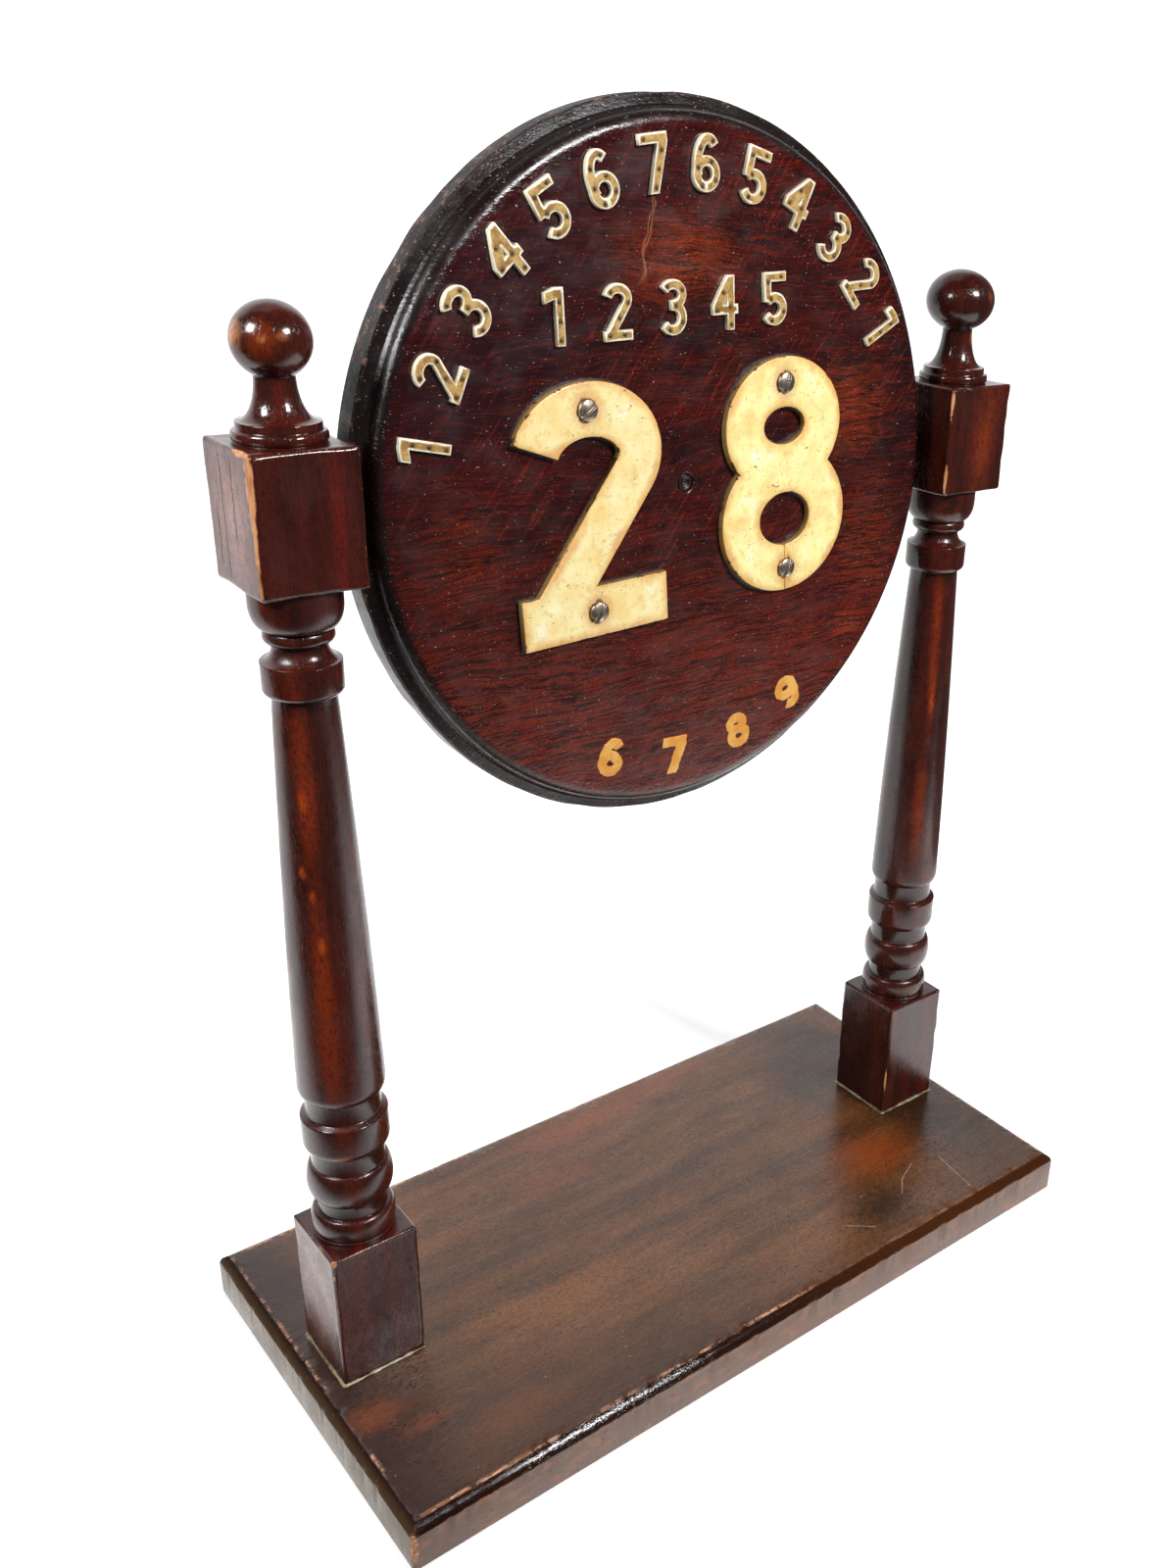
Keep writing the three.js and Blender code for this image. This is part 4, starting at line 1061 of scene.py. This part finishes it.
def base_look():
    """A plain board, warm brown with soft darker streaks along it, polished, with a dark chamfer."""
    g = Material("base_board_polish")
    x, y, z = g.axes()
    bent = g.bent({1: g.swing(g.noise((130, 60, 60), 2, shift=1), 20)})
    tone = g.noise((150, 14, 14), 4, 0.6, shift=8, place=bent)
    cloud = g.noise((80, 46, 60), 4, 0.6, shift=14)
    fibre = g.noise((16, 0.9, 0.9), 4, 0.7, shift=4, place=bent)
    pores = g.band(g.noise((4.5, 0.5, 0.5), 2, 0.5, shift=19, place=bent), 0.57, 0.67)
    grain = g.noise((1.3, 0.9, 1), 3, 0.6, shift=45)
    g.base = g.mix(g.band(tone, 0.3, 0.7), 0x40230f, 0x6e431f)
    g.cover(g.band(cloud, 0.5, 0.7, 0, 0.5), 0x865024)
    g.cover(g.band(cloud, 0.48, 0.3, 0, 0.45), 0x321c12)
    g.cover(g.band(fibre, 0.45, 0.7, 0, 0.5), 0x7c4820)
    g.cover(g.band(grain, 0.54, 0.32, 0, 0.6), 0x24120a)
    g.cover(g.band(grain, 0.56, 0.7, 0, 0.4), 0x906040)
    g.cover(g.band(y + x * 0.35, -35, -110, 0, 0.6), 0x331b10)
    g.cover(g.band(x, -140, -184, 0, 0.8), 0x28120f)
    g.cover(g.band(x, 60, 180, 0, 0.35), 0x3c1e0c)
    for across, along, width, depth, strength, code in (
        (-176, -36, 19, 12, 0.6, 0x7c3c14),
        (-160, -52, 20, 6, 0.4, 0x7c360c),
        (0, 76, 60, 14, 0.55, 0x843c20),
        (60, 84, 50, 9, 0.6, 0x7c3a24),
        (-30, 48, 40, 14, 0.4, 0x7c3a18),
        (-130, -70, 26, 14, 0.5, 0x5e3412),
        (166, -20, 44, 90, 0.8, 0x24170f),
        (120, 34, 30, 44, 0.7, 0x281c16),
        (88, -70, 34, 24, 0.85, 0x26160a),
        (113, -37, 36, 24, 0.6, 0x903e0c),
    ):
        centre = (across, along, BASE_THICKNESS)
        g.cover(g.spot(centre, (width, depth, 9), 0.95, 1.1), code, strength)
    g.cover(pores, 0x1a0d08, 0.7)

    # Sides and ends, the ends' pale grey-brown partly a painted reflection of the white floor, and a
    # chamfer that is darker than the faces
    low, high = BASE_THICKNESS - BASE_CHAMFER_DROP, BASE_THICKNESS
    end = BASE_LENGTH / 2
    cloudy = g.band(cloud, 0.35, 0.65, 0.65, 0.95)
    rust = g.noise((16, 9, 7), 4, 0.7, shift=84)
    ends = g.band(abs(x), end - 1.2, end - 0.5)
    slant = g.band(z, low - 0.5, low + 0.5) * g.band(z, high - 0.1, high - 0.6)
    sides = g.band(z, low + 0.4, low - 0.6)
    g.cover(sides * cloudy, 0x5c381e)
    g.cover(g.band(rust, 0.5, 0.64, 0, 0.6) * sides, 0x8a4a22)
    ends = sides * ends
    # The ends' pale grey-brown: wood colour, partly painted reflection
    g.cover(ends * cloudy, 0x62543f)
    brown = g.mix(g.band(x, -20, 90), 0x1a0a08, 0x3a1c0c)
    brown = g.mix(g.band(x, 4 - end, 1 - end), brown, 0x463220)
    g.cover(slant, brown, 0.85)

    # The chamfer's upper edge is chipped down to pale wood, most of all at its left front
    stands = g.value("relief")
    chips = g.noise((5, 4, 3), 5, 0.7, shift=27)
    patches = g.noise(42, 2, 0.5, shift=33)
    crest = g.band(stands, 0.5, 0.85) * g.band(z, high - 1.6, high - 1.0, 0.2, 1)
    rubbed = g.spot((-152, -92, BASE_THICKNESS), (36, 6, 6), 0.3, 0.6)
    worn = crest * g.band(chips, 0.46, 0.56)
    worn = worn * (rubbed | g.band(patches, 0.36, 0.52))
    worn = worn | crest * rubbed * g.band(chips, 0.4, 0.5)
    worn = worn * g.band(x, 70, -10, 0.25, 1)
    worn = worn | g.spot((-190.5, -95.5, 12), (2.6, 2.6, 10), 0.5, 0.8)
    bare = g.mix(g.band(fibre, 0.4, 0.62), 0x8a4a28, 0xe0b090)
    g.cover(worn, bare, 0.85)

    # Dents, pits and scratches in the top, some with pale dust in them
    pit = g.band(g.noise((2.6, 1.9, 3), 2, 0.5, shift=51), 0.69, 0.74)
    g.cover(pit, 0x0e0706, 0.8)
    g.cover(g.band(g.noise((2.0, 1.4, 2), 2, 0.5, shift=66), 0.74, 0.77), 0xb89070, 0.6)
    for start, stop in (
        ((139, -60), (135, -86)),
        ((123, -55), (110, -61)),
        ((110, -61), (102, -69)),
        ((61, -69), (73, -79)),
    ):
        line = g.scratch((*start, BASE_THICKNESS), (*stop, BASE_THICKNESS), 0.5)
        g.cover(line * g.band(grain, 0.35, 0.55, 0.1, 0.6), 0xa89078)
    smear = g.noise((34, 20, 20), 4, 0.65, shift=6)
    rough = g.band(smear, 0.35, 0.7, 0.22, 0.36) - slant * 0.18
    rough = (rough + worn * 0.3).clamped()
    swell = g.noise((26, 12, 12), 3, 0.5, shift=12)
    grit = g.noise((1.3, 1.1, 1.1), 3, 0.6, shift=71)
    bumps = [
        (swell, 0.35, 0.5),
        (fibre * 0.4 - pores - pit * 5, 0.45, 0.09),
        (chips, g.band(stands, 0.2, 0.8, 0.0, 0.8), 0.5),
        (grit, slant * 0.5, 0.25),
    ]

    # Only the middle of the left half of the front chamfer still has its full shine
    shiny = g.band(abs(x + 92), 62, 34) * g.band(grit, 0.38, 0.52, 0.25, 1)
    dull = slant * (1 - shiny) | ends * 0.6
    ior = 1.5 - dull * 0.36
    return g.finish(rough, bumps, ior=ior)


# Enamel, brass, paint and steel

def enamel_look(name, pale, shift):
    """Cream enamel on metal: stained towards its rim and its screws, speckled and chipped."""
    g = Material(name, "XYZ", BOARD)
    inset = g.value("inset")
    cloud = g.noise(13, 4, 0.6, shift=shift)
    fine = g.noise(3.2, 3, 0.6, shift=shift + 3)
    g.base = g.mix(g.band(cloud, 0.42, 0.7), pale, 0xf2d58c)
    g.cover(g.band(cloud, 0.45, 0.3, 0, 0.7), 0xfffbe2)
    g.cover(g.band(fine, 0.52, 0.68, 0, 0.4), 0xd8a860)
    g.cover(g.band(inset + g.swing(cloud, 14), 4.2, -0.6, 0, 0.8), 0xdc9c48)
    stain = g.value("screw") + g.swing(fine, 5)
    g.cover(g.band(stain, 9.5, 4.2, 0, 0.6), 0xd08c48)
    g.cover(g.band(stain, 4.9, 4.0, 0, 0.85), 0x4e2e18)
    crowd = g.band(g.noise((20, 15, 20), 2, 0.5, shift=shift + 31), 0.4, 0.6, 0.2, 1)
    speck = g.band(g.noise((2.0, 0.9, 1.4), 3, 0.6, shift=shift + 8), 0.65, 0.7) * crowd
    dot = g.band(g.noise(0.9, 2, 0.5, shift=shift + 12), 0.69, 0.74)
    g.cover(dot, 0x8a6030, 0.5)
    g.cover(speck, 0x5c3c1c, 0.85)
    chip = g.noise(5, 4, 0.65, shift=shift + 17)
    bare = g.band(inset, 0.7, 0.2) * g.band(chip, 0.57, 0.62)
    g.cover(bare, 0x2c1a10)
    g.cover(g.band(inset, 0.25, 0.05, 0, 0.7), 0x5a3c20)
    heights = fine * 0.3 - (speck + bare)
    return g.finish(g.band(fine, 0.3, 0.7, 0.22, 0.4), [(cloud, 0.35, 0.6), (heights, 0.5, 0.12)])


def brass_look(name, brown, shift):
    """Small figures: tarnished golden faces, with rims rubbed pale."""
    g = Material(name, "XYZ", BOARD)
    cloud = g.noise(4.5, 3, 0.6, shift=shift)
    fine = g.noise(1.1, 3, 0.65, shift=shift + 5)
    face = g.mix(g.band(cloud, 0.36, 0.6), 0x94692f, 0xc9a563)
    face = g.mix(g.band(fine, 0.45, 0.64, 0, 0.8), face, brown)
    edge = g.value("inset") + g.swing(cloud, 2.2)
    g.base = g.mix(g.band(edge, 0.85, 0.3), face, 0xf3ead0)
    dark_ring = g.value("nail") + g.swing(fine, 0.8)
    g.cover(g.band(dark_ring, 1.7, 0.7, 0, 0.7), 0x523816)
    return g.finish(g.band(fine, 0.3, 0.7, 0.3, 0.5), [(fine, 0.6, 0.14), (cloud, 0.3, 0.3)], metallic=0.1)


def paint_look():
    """Flat golden paint, thin where the grain breaks through."""
    g = Material("golden_paint", "XYZ", BOARD)
    fine = g.noise((1.4, 0.8, 1), 3, 0.65)
    cloud = g.noise(7, 3, 0.6, shift=3)
    g.base = g.mix(g.band(cloud, 0.4, 0.65), 0xd48f34, 0xe2ab57)
    g.cover(g.band(fine, 0.62, 0.72, 0, 0.65), 0x6b3512)
    return g.finish(g.band(fine, 0.3, 0.7, 0.4, 0.55), [(fine, 0.5, 0.08)])


def steel_look(name, bright, dark, shift=0.0, metallic=1.0):
    """Dull steel with rust and dirt in it."""
    g = Material(name)
    cloud = g.noise(2.6, 4, 0.65, shift=shift)
    scratch = g.noise((7, 0.35, 1), 2, 0.6, shift=shift + 4)
    g.base = g.mix(g.band(cloud, 0.4, 0.65), bright, dark)
    g.cover(g.band(scratch, 0.55, 0.75, 0, 0.4), 0xb8aa94)
    rough = g.band(cloud, 0.3, 0.7, 0.28, 0.5)
    return g.finish(rough, [(cloud, 0.4, 0.15), (scratch, 0.3, 0.05)], metallic=metallic)


def blotched_look(name, blobs, colours, edges, rough, bump, seat=Matrix.Identity(4)):
    """Small blotches of two colours, with a roughness and a height that change with them."""
    g = Material(name, "XYZ", seat)
    cloud = g.noise(blobs, 3, 0.6)
    g.base = g.mix(g.band(cloud, *edges), *colours)
    return g.finish(g.band(cloud, 0.3, 0.7, *rough), [(cloud, *bump)])


# Stand

turning_outline, turning_height = turning()
UPPER_BLOCK_FOOT = LOWER_BLOCK_TOP + turning_height
UPPER_BLOCK_TOP = UPPER_BLOCK_FOOT + UPPER_BLOCK_HEIGHT


def post_shape(seed):
    half = BLOCK_WIDTH / 2
    foot = LOWER_BLOCK_TOP - LOWER_BLOCK_HEIGHT
    lower = worn_block((-half, -half, foot), (half, half, LOWER_BLOCK_TOP), LOWER_BLOCK_EASE, seed)
    turned = lifted(lathe(softened(turning_outline, POST_ARRIS_ROUND)), (0, 0, LOWER_BLOCK_TOP))
    low, high = (-half, -half, UPPER_BLOCK_FOOT), (half, half, UPPER_BLOCK_TOP)
    return joined([lower, turned, worn_block(low, high, UPPER_BLOCK_EASE, seed + 5)])


def glue_shape(seed):
    """A low uneven bead round the foot of a block."""
    half = Vector((BLOCK_WIDTH / 2, BLOCK_WIDTH / 2))
    path = ring(half, 0, GLUE_CORNER, GLUE_PITCH)
    points, faces = [], []
    for place, outward in path:
        size = 0.75 + 0.9 * noise.noise(Vector((place.x, place.y, seed)) * 0.16)
        for out, rise in GLUE_SECTION:
            spot = place + outward * (out * size)
            points.append((spot.x, spot.y, BASE_THICKNESS + max(rise * size, -GLUE_SINK)))
    rows = len(GLUE_SECTION)
    for k in range(len(path)):
        m = (k + 1) % len(path)
        for n in range(rows - 1):
            faces.append([k * rows + n, k * rows + n + 1, m * rows + n + 1, m * rows + n])
    return {"points": points, "faces": faces, "values": {"relief": [0] * len(points)}}


# Places on the posts and finials are (up, across, deep), each with its radii

LEFT_POST = {
    "spots": [
        ((404, -19.4, -19), (15, 2.0, 4.6)),
        ((388, -19.4, -19), (15, 1.3, 2.4)),
        ((370, -19.4, -19), (9, 1.2, 1.8)),
        ((414, -19, -12), (1.6, 2, 7)),
        ((89, -19, -19), (2.5, 2.2, 2.2)),
    ],
    "cracks": [(5, 391, 26), (-4, 397, 17), (11, 383, 12)],
    "streaks_and_painted_sheen": [
        ((300, -8, -11), (50, 6, 7), 0.8, 0x802c0c),
        ((205, -9, -13), (80, 6, 8), 0.7, 0x84300e),
        ((290, -9, -11), (8, 2, 6), 0.8, 0xa8440e),
        ((262, -11, -11), (4, 1.6, 6), 0.9, 0xc2501a),
        ((252, -9, -13), (4, 1.6, 6), 0.9, 0xb84a16),
        ((232, -8, -14), (5, 1.8, 6), 0.9, 0xbc4c10),
        ((133, -9, -14), (5, 6, 9), 0.8, 0xa2441a),
        ((390, -3, -20), (38, 26, 3), 0.7, 0x2a0a0a),
        ((388, 10, -20), (44, 5, 5), 0.75, 0x6a120a),
        ((392, -3, -20), (16, 3, 4), 0.5, 0x5c1a10),
        # Painted sheen, not streaks: pale mauve over the left faces of both blocks, the white floor
        # mirrored at a grazing angle
        ((390, -20, 0), (36, 3, 26), 0.95, 0xa06c60),
        ((66, -20, 0), (44, 3, 26), 0.85, 0x946658),
    ],
}
RIGHT_POST = {
    "spots": [
        ((408, -19, -19), (7, 1.3, 1.3)),
        ((374, -19, -19), (9, 1.2, 1.2)),
        ((44, -19, -19), (9, 1.0, 1.0)),
    ],
    "streaks_and_painted_sheen": [
        ((220, -13, 2), (110, 5, 9), 0.75, 0x2c221c),
        ((280, -6, -10), (70, 3.5, 6), 0.95, 0x96340c),
        ((200, -8, -12), (50, 5, 7), 0.8, 0x86300e),
        ((392, 2, -20), (40, 16, 4), 0.45, 0x70200c),
        ((262, -6, -11), (8, 2, 6), 0.9, 0xb4480c),
        ((388, 4, -19), (40, 8, 6), 0.5, 0x8a3810),
    ],
}
LEFT_FINIAL = {
    "streaks_and_painted_sheen": [
        ((32, -6.7, -9.6), (9, 7, 7), 0.9, 0x7c2c08),
        ((33.2, -7.3, -10.7), (2.0, 2.2, 2.2), 0.75, 0xb06a3c),
        ((34.0, -1.5, -12.7), (2.2, 2.8, 2.2), 0.7, 0xa8582c),
        ((34.4, -12.4, -1), (7, 3, 6), 0.85, 0xc0845c),
    ],
}
RIGHT_FINIAL = {
    "streaks_and_painted_sheen": [
        ((38.0, 3.6, -14.6), (4, 3, 3), 0.8, 0x8c4a2c),
        ((19.5, 2.6, -6.2), (4.5, 2.2, 3), 0.95, 0xb8641c),
    ],
}


def add_stand():
    add_piece("base_board_wood", base_shape(), base_look(), "stand", ["base_board"])
    places = {name: at(side * POST_OFFSET, POST_SET_BACK, 0) for name, side in SIDES.items()}
    tops = {name: place @ at(0, 0, UPPER_BLOCK_TOP) for name, place in places.items()}
    posts = {
        "left": post_look("left_post_polish", places["left"], 2, 0.35, **LEFT_POST),
        "right": post_look("right_post_polish", places["right"], 57, 0.5, **RIGHT_POST),
    }
    finials = {
        "left": post_look("left_finial_polish", tops["left"], 83, 0.4, gloss=0.1, **LEFT_FINIAL),
        "right": post_look("right_finial_polish", tops["right"], 118, 0.25, gloss=0.1, **RIGHT_FINIAL),
    }
    steel = steel_look("pivot_steel", 0x6b655c, 0x3b3129)
    yellows = (0x5a4a2c, 0xa39a72)
    glue = blotched_look("old_glue", 5, yellows, (0.35, 0.65), (0.25, 0.5), (0.5, 0.25))
    for name, side in SIDES.items():
        place, top = places[name], tops[name]
        post = post_shape(side * 3)
        add_piece(f"{name}_post_wood", post, posts[name], "stand", [f"{name}_post"], place)
        ball = lathe(softened(finial_outline(*FINIAL_SIZES[name]), FINIAL_ARRIS_ROUND))
        add_piece(f"{name}_finial_wood", ball, finials[name], "stand", [f"{name}_finial"], top)
        add_piece(f"{name}_glue_line", glue_shape(side), glue, "stand", place=place)
        for part in ("post_screw", "pivot_pin", "pivot_washer"):
            for held in frame["nodes"][f"{name}_{part}"].material_slots:
                held.material = steel


# Round board

def on_front(across, up, turn, lift=SEAT_GAP):
    """Stands a flat piece on the front of the round board, turned by an angle."""
    place = at(across, -DISC_THICKNESS / 2 - lift, up)
    return BOARD @ place @ Matrix.Rotation(-turn, 4, "Y") @ Matrix.Rotation(math.pi / 2, 4, "X")


def screw_shape(turn):
    """A low round head with a slot."""
    radius = SCREW_HEAD_DIAMETER / 2
    rim = [Vector(point) for point in ellipse((0, 0), (radius, radius), 0, 352.5, 47)]
    along = Vector((math.cos(turn), math.sin(turn)))

    def height(places):
        away = np.hypot(places[:, 0], places[:, 1]) / radius
        dome = SCREW_DOME * (np.sqrt(np.maximum(1 - (away * 0.93) ** 2, 0)) - 1)
        off = np.abs(places[:, 0] * -along.y + places[:, 1] * along.x)
        groove = np.clip((SLOT_WIDTH / 2 + 0.12 - off) / 0.16, 0, 1)
        return dome - groove * SLOT_DEPTH

    return plate([rim], SCREW_HEAD_HEIGHT, SCREW_ROUND, SCREW_PITCH, height)


def nail_shape(places):
    """Small domed heads at places on a figure."""
    one = lathe([Vector(point) for point in NAIL_HEAD], NAIL_SEGMENTS)
    return joined([lifted(one, (x, y, SMALL_THICKNESS - NAIL_SINK)) for x, y in places])


def small_places():
    """Name, figure and place of each small figure."""
    placed = []
    for k, digit in enumerate(ROW_FIGURES):
        along = (k - (len(ROW_FIGURES) - 1) / 2) * ROW_PITCH
        across = along * math.cos(ROW_LEAN) + ROW_SHIFT
        up = along * math.sin(ROW_LEAN) + ROW_HEIGHT
        placed.append((f"row_figure_{k + 1}", digit, on_front(across, up, ROW_LEAN)))
    for k, digit in enumerate(ARC_FIGURES):
        angle = ARC_START - ARC_STEP * k
        across, up = ARC_RADIUS * math.cos(angle), ARC_RADIUS * math.sin(angle)
        placed.append((f"arc_figure_{k + 1:02d}", digit, on_front(across, up, angle - math.pi / 2)))
    return placed


def add_small_figures():
    browns = (0x8a6430, 0xb59a5f, 0x9a7a42)
    looks = [brass_look(f"figure_brass_{k}", brown, k * 13) for k, brown in enumerate(browns)]
    iron = steel_look("nail_iron", 0x4a3a28, 0x22180f, metallic=0.4)
    shapes, nails = {}, {}
    for digit in "1234567":
        loops = outlines(figure(digit, SMALL_HEIGHT, SMALL_WIDTH, SMALL_STROKE))
        places = nail_places(loops, SMALL_STROKE, NAIL_SPACING)
        shapes[digit] = plate(loops, SMALL_THICKNESS, SMALL_ROUND, SMALL_PITCH)
        shapes[digit]["values"]["nail"] = ways_to(shapes[digit]["points"], places)
        nails[digit] = nail_shape(places)
    for k, (name, digit, place) in enumerate(small_places()):
        add_piece(f"{name}_plate", shapes[digit], looks[k % 3], "board", [name], place)
        add_piece(f"{name}_nails", nails[digit], iron, "board", place=place)


def add_large_figures():
    looks = {
        "left": enamel_look("left_enamel", 0xf8e9ae, 3),
        "right": enamel_look("right_enamel", 0xfbf0a8, 47),
    }
    steel = steel_look("figure_screw_steel", 0xb3a79a, 0x6e5c4c, 9)
    # The dark line round each figure is mostly painted shadow and partly wax dirt
    blacks = (0x0a0505, 0x1c0c0a)
    dark_ring = blotched_look("painted_shadow_and_wax_dirt", 3, blacks, (0.35, 0.65), (0.4, 0.6), (0.3, 0.1), BOARD)
    reach = (LARGE_HEIGHT - LARGE_STROKE) / 2
    lean = Matrix.Rotation(LARGE_LEAN, 2)
    for (name, side), digit in zip(SIDES.items(), LARGE_FIGURES):
        middle = lean @ Vector((side * LARGE_SPREAD / 2, 0)) + Vector((LARGE_SHIFT, -LARGE_DROP))
        loops = outlines(figure(digit, LARGE_HEIGHT, LARGE_WIDTH, LARGE_STROKE, LARGE_STEPS))
        rings = [ragged(drawn_in(loop, -SHADOW_AND_DIRT_REACH), 1.0, 0.4, side * 5) for loop in loops]
        under = on_front(*middle, LARGE_LEAN, 0)
        line = plate(rings, SHADOW_AND_DIRT_THICKNESS, SHADOW_AND_DIRT_ROUND, SHADOW_AND_DIRT_PITCH)
        add_piece(f"{name}_figure_shadow_and_dirt", line, dark_ring, "board", place=under)
        shape = plate(loops, LARGE_THICKNESS, LARGE_ROUND, LARGE_PITCH)
        shape["values"]["screw"] = ways_to(shape["points"], [(0, reach), (0, -reach)])
        node = f"{name}_large_figure"
        place = on_front(*middle, LARGE_LEAN)
        add_piece(f"{name}_large_plate", shape, looks[name], "board", [node], place)
        for level, height, turn in zip(("upper", "lower"), (reach, -reach), SCREW_TURNS[name]):
            spot = middle + lean @ Vector((0, height))
            seat = on_front(*spot, LARGE_LEAN, SEAT_GAP * 2 + LARGE_THICKNESS)
            node = f"{name}_figure_{level}_screw"
            add_piece(f"{node}_head", screw_shape(turn), steel, "board", [node], seat)


def add_painted_figures():
    paint = paint_look()
    for digit, degrees in PAINTED_FIGURES.items():
        angle = math.radians(degrees)
        across, up = PAINTED_RADIUS * math.cos(angle), PAINTED_RADIUS * math.sin(angle)
        loops = outlines(figure(digit, PAINTED_HEIGHT, PAINTED_WIDTH, PAINTED_STROKE))
        loops = [ragged(loop, 0.5, 0.45, angle) for loop in loops]
        place = on_front(across, up, angle + math.pi / 2, 0)
        layer = plate(loops, PAINT_THICKNESS, PAINT_ROUND, PAINT_PITCH)
        add_piece(f"painted_figure_{digit}", layer, paint, "board", place=place)


def add_board():
    add_piece("sign_disc_wood", disc_shape(), disc_look(), "board", ["sign_disc"], BOARD)
    seat = on_front(0, 0, 0, -PLUG_DEPTH)
    plug = lathe(plug_outline(), PLUG_SEGMENTS)
    browns = (0x0e0708, 0x2c1512)
    fibres = (0.7, 0.7, 5)
    look = blotched_look("plug_dark_wood", fibres, browns, (0.4, 0.65), (0.25, 0.45), (0.5, 0.1), BOARD)
    add_piece("centre_plug_wood", plug, look, "board", ["centre_plug"], seat)
    add_large_figures()
    add_small_figures()
    add_painted_figures()


# Studio: white surroundings, two soft lamps and the photograph's camera. Its places are in metres.

FLOOR_LOW = (-1.6, -0.5)
FLOOR_HIGH = (0.5, 1.6)
FLOOR_DROP = 0.0004
# Place, aim, width and power
LAMPS = {
    "left_lamp": ((-0.62, -0.03, 0.75), (-0.1, 0, 0.2), 0.2, 4.5),
    "front_lamp": ((0.35, -0.955, 1.04), (0, 0, 0.3), 0.26, 17),
}
CAMERA_PLACE = (-0.3516, -0.4611, 0.5108)
# Heading, tilt and roll in degrees
CAMERA_TURNS = (-41.35, -25.39, 2.95)
CAMERA_LENS = 44.21
CAMERA_SENSOR = 36
CAMERA_SHIFT = (-0.149, 0.034)


def add_floor():
    """White paper, which is dark in the glossy wood towards the photographer's side of the room."""
    g = Material("white_floor")
    kinds = ("Camera", "Glossy", "Transmission")
    ray = {kind: g.get(f"Is {kind} Ray", "ShaderNodeLightPath") for kind in kinds}
    away = g.vector("LENGTH", g.vector("MULTIPLY", g.place, (1, 1, 0)))
    near_camera = g.vector("DOT_PRODUCT", g.place, (-0.6, -0.8, 0))
    dark = g.band(near_camera, 170, 330)
    far = g.band(away, 300, 480) | dark
    seen = ray["Camera"] * (far * 0.62 + 0.38)
    shine = (ray["Glossy"] | ray["Transmission"]) * g.band(near_camera, 260, 120)
    white = g.mix(g.band(g.noise(40, 2), 0.3, 0.7), 0xf0f0f0, 0xf6f6f6)
    white = g.mix(dark, white, 0x3a3a3a)
    shade = g.get(0, "ShaderNodeBsdfDiffuse", {"Color": white})
    light = g.get(0, "ShaderNodeEmission", {"Strength": seen + shine})
    both = g.get(0, "ShaderNodeAddShader", {0: shade, 1: light})
    g.add("ShaderNodeOutputMaterial", {"Surface": both})
    mesh = bpy.data.meshes.new("floor")
    corners = bar(*FLOOR_LOW, *FLOOR_HIGH)
    mesh.from_pydata([(x, y, -FLOOR_DROP) for x, y in corners], [], [(0, 1, 2, 3)])
    mesh.materials.append(g.material)
    floor = bpy.data.objects.new("floor", mesh)
    bpy.context.scene.collection.objects.link(floor)


def add_world():
    """White behind, up to a little above eye level, and dim above and in front."""
    world = bpy.data.worlds.new("studio")
    bpy.context.scene.world = world
    world.use_nodes = True
    g = Graph(world.node_tree)
    place = g.get("Generated", "ShaderNodeTexCoord")
    height = g.get("Z", "ShaderNodeSeparateXYZ", {0: place})
    heading = g.vector("NORMALIZE", g.vector("MULTIPLY", place, (1, 1, 0)))
    behind = g.vector("DOT_PRODUCT", heading, (0.2, 0.98, 0))
    lit = g.band(behind, 0.5, 0.85, 0.1, 1.5) * g.band(height, 0.66, 0.8, 1.0, 0.35)
    strength = g.get("Is Camera Ray", "ShaderNodeLightPath") | lit
    sky = g.get(0, "ShaderNodeBackground", {"Color": 0xffffff, "Strength": strength})
    g.add("ShaderNodeOutputWorld", {"Surface": sky})


def add_lamp(name, place, aim, width, power):
    lamp = bpy.data.lights.new(name, "AREA")
    lamp.size = width
    lamp.energy = power
    item = bpy.data.objects.new(name, lamp)
    bpy.context.scene.collection.objects.link(item)
    item.location = place
    item.rotation_mode = "QUATERNION"
    item.rotation_quaternion = (Vector(aim) - item.location).to_track_quat("-Z", "Y")
    item.visible_camera = False


def add_camera():
    camera = bpy.data.cameras.new("camera")
    camera.sensor_fit = "HORIZONTAL"
    camera.sensor_width = CAMERA_SENSOR
    camera.lens = CAMERA_LENS
    camera.shift_x, camera.shift_y = CAMERA_SHIFT
    item = bpy.data.objects.new("camera", camera)
    bpy.context.scene.collection.objects.link(item)
    yaw, pitch, roll = (math.radians(angle) for angle in CAMERA_TURNS)
    forward = Vector((-math.sin(yaw) * math.cos(pitch), math.cos(yaw) * math.cos(pitch), math.sin(pitch)))
    level = Vector((math.cos(yaw), math.sin(yaw), 0))
    upright = level.cross(forward)
    right = math.cos(roll) * level + math.sin(roll) * upright
    up = math.cos(roll) * upright - math.sin(roll) * level
    axes = Matrix((right, up, -forward)).transposed().to_4x4()
    item.matrix_world = Matrix.Translation(CAMERA_PLACE) @ axes
    bpy.context.scene.camera = item


bpy.context.scene.view_settings.view_transform = "Standard"
add_camera()
add_world()
add_floor()
for lamp_name, settings in LAMPS.items():
    add_lamp(lamp_name, *settings)
add_stand()
add_board()
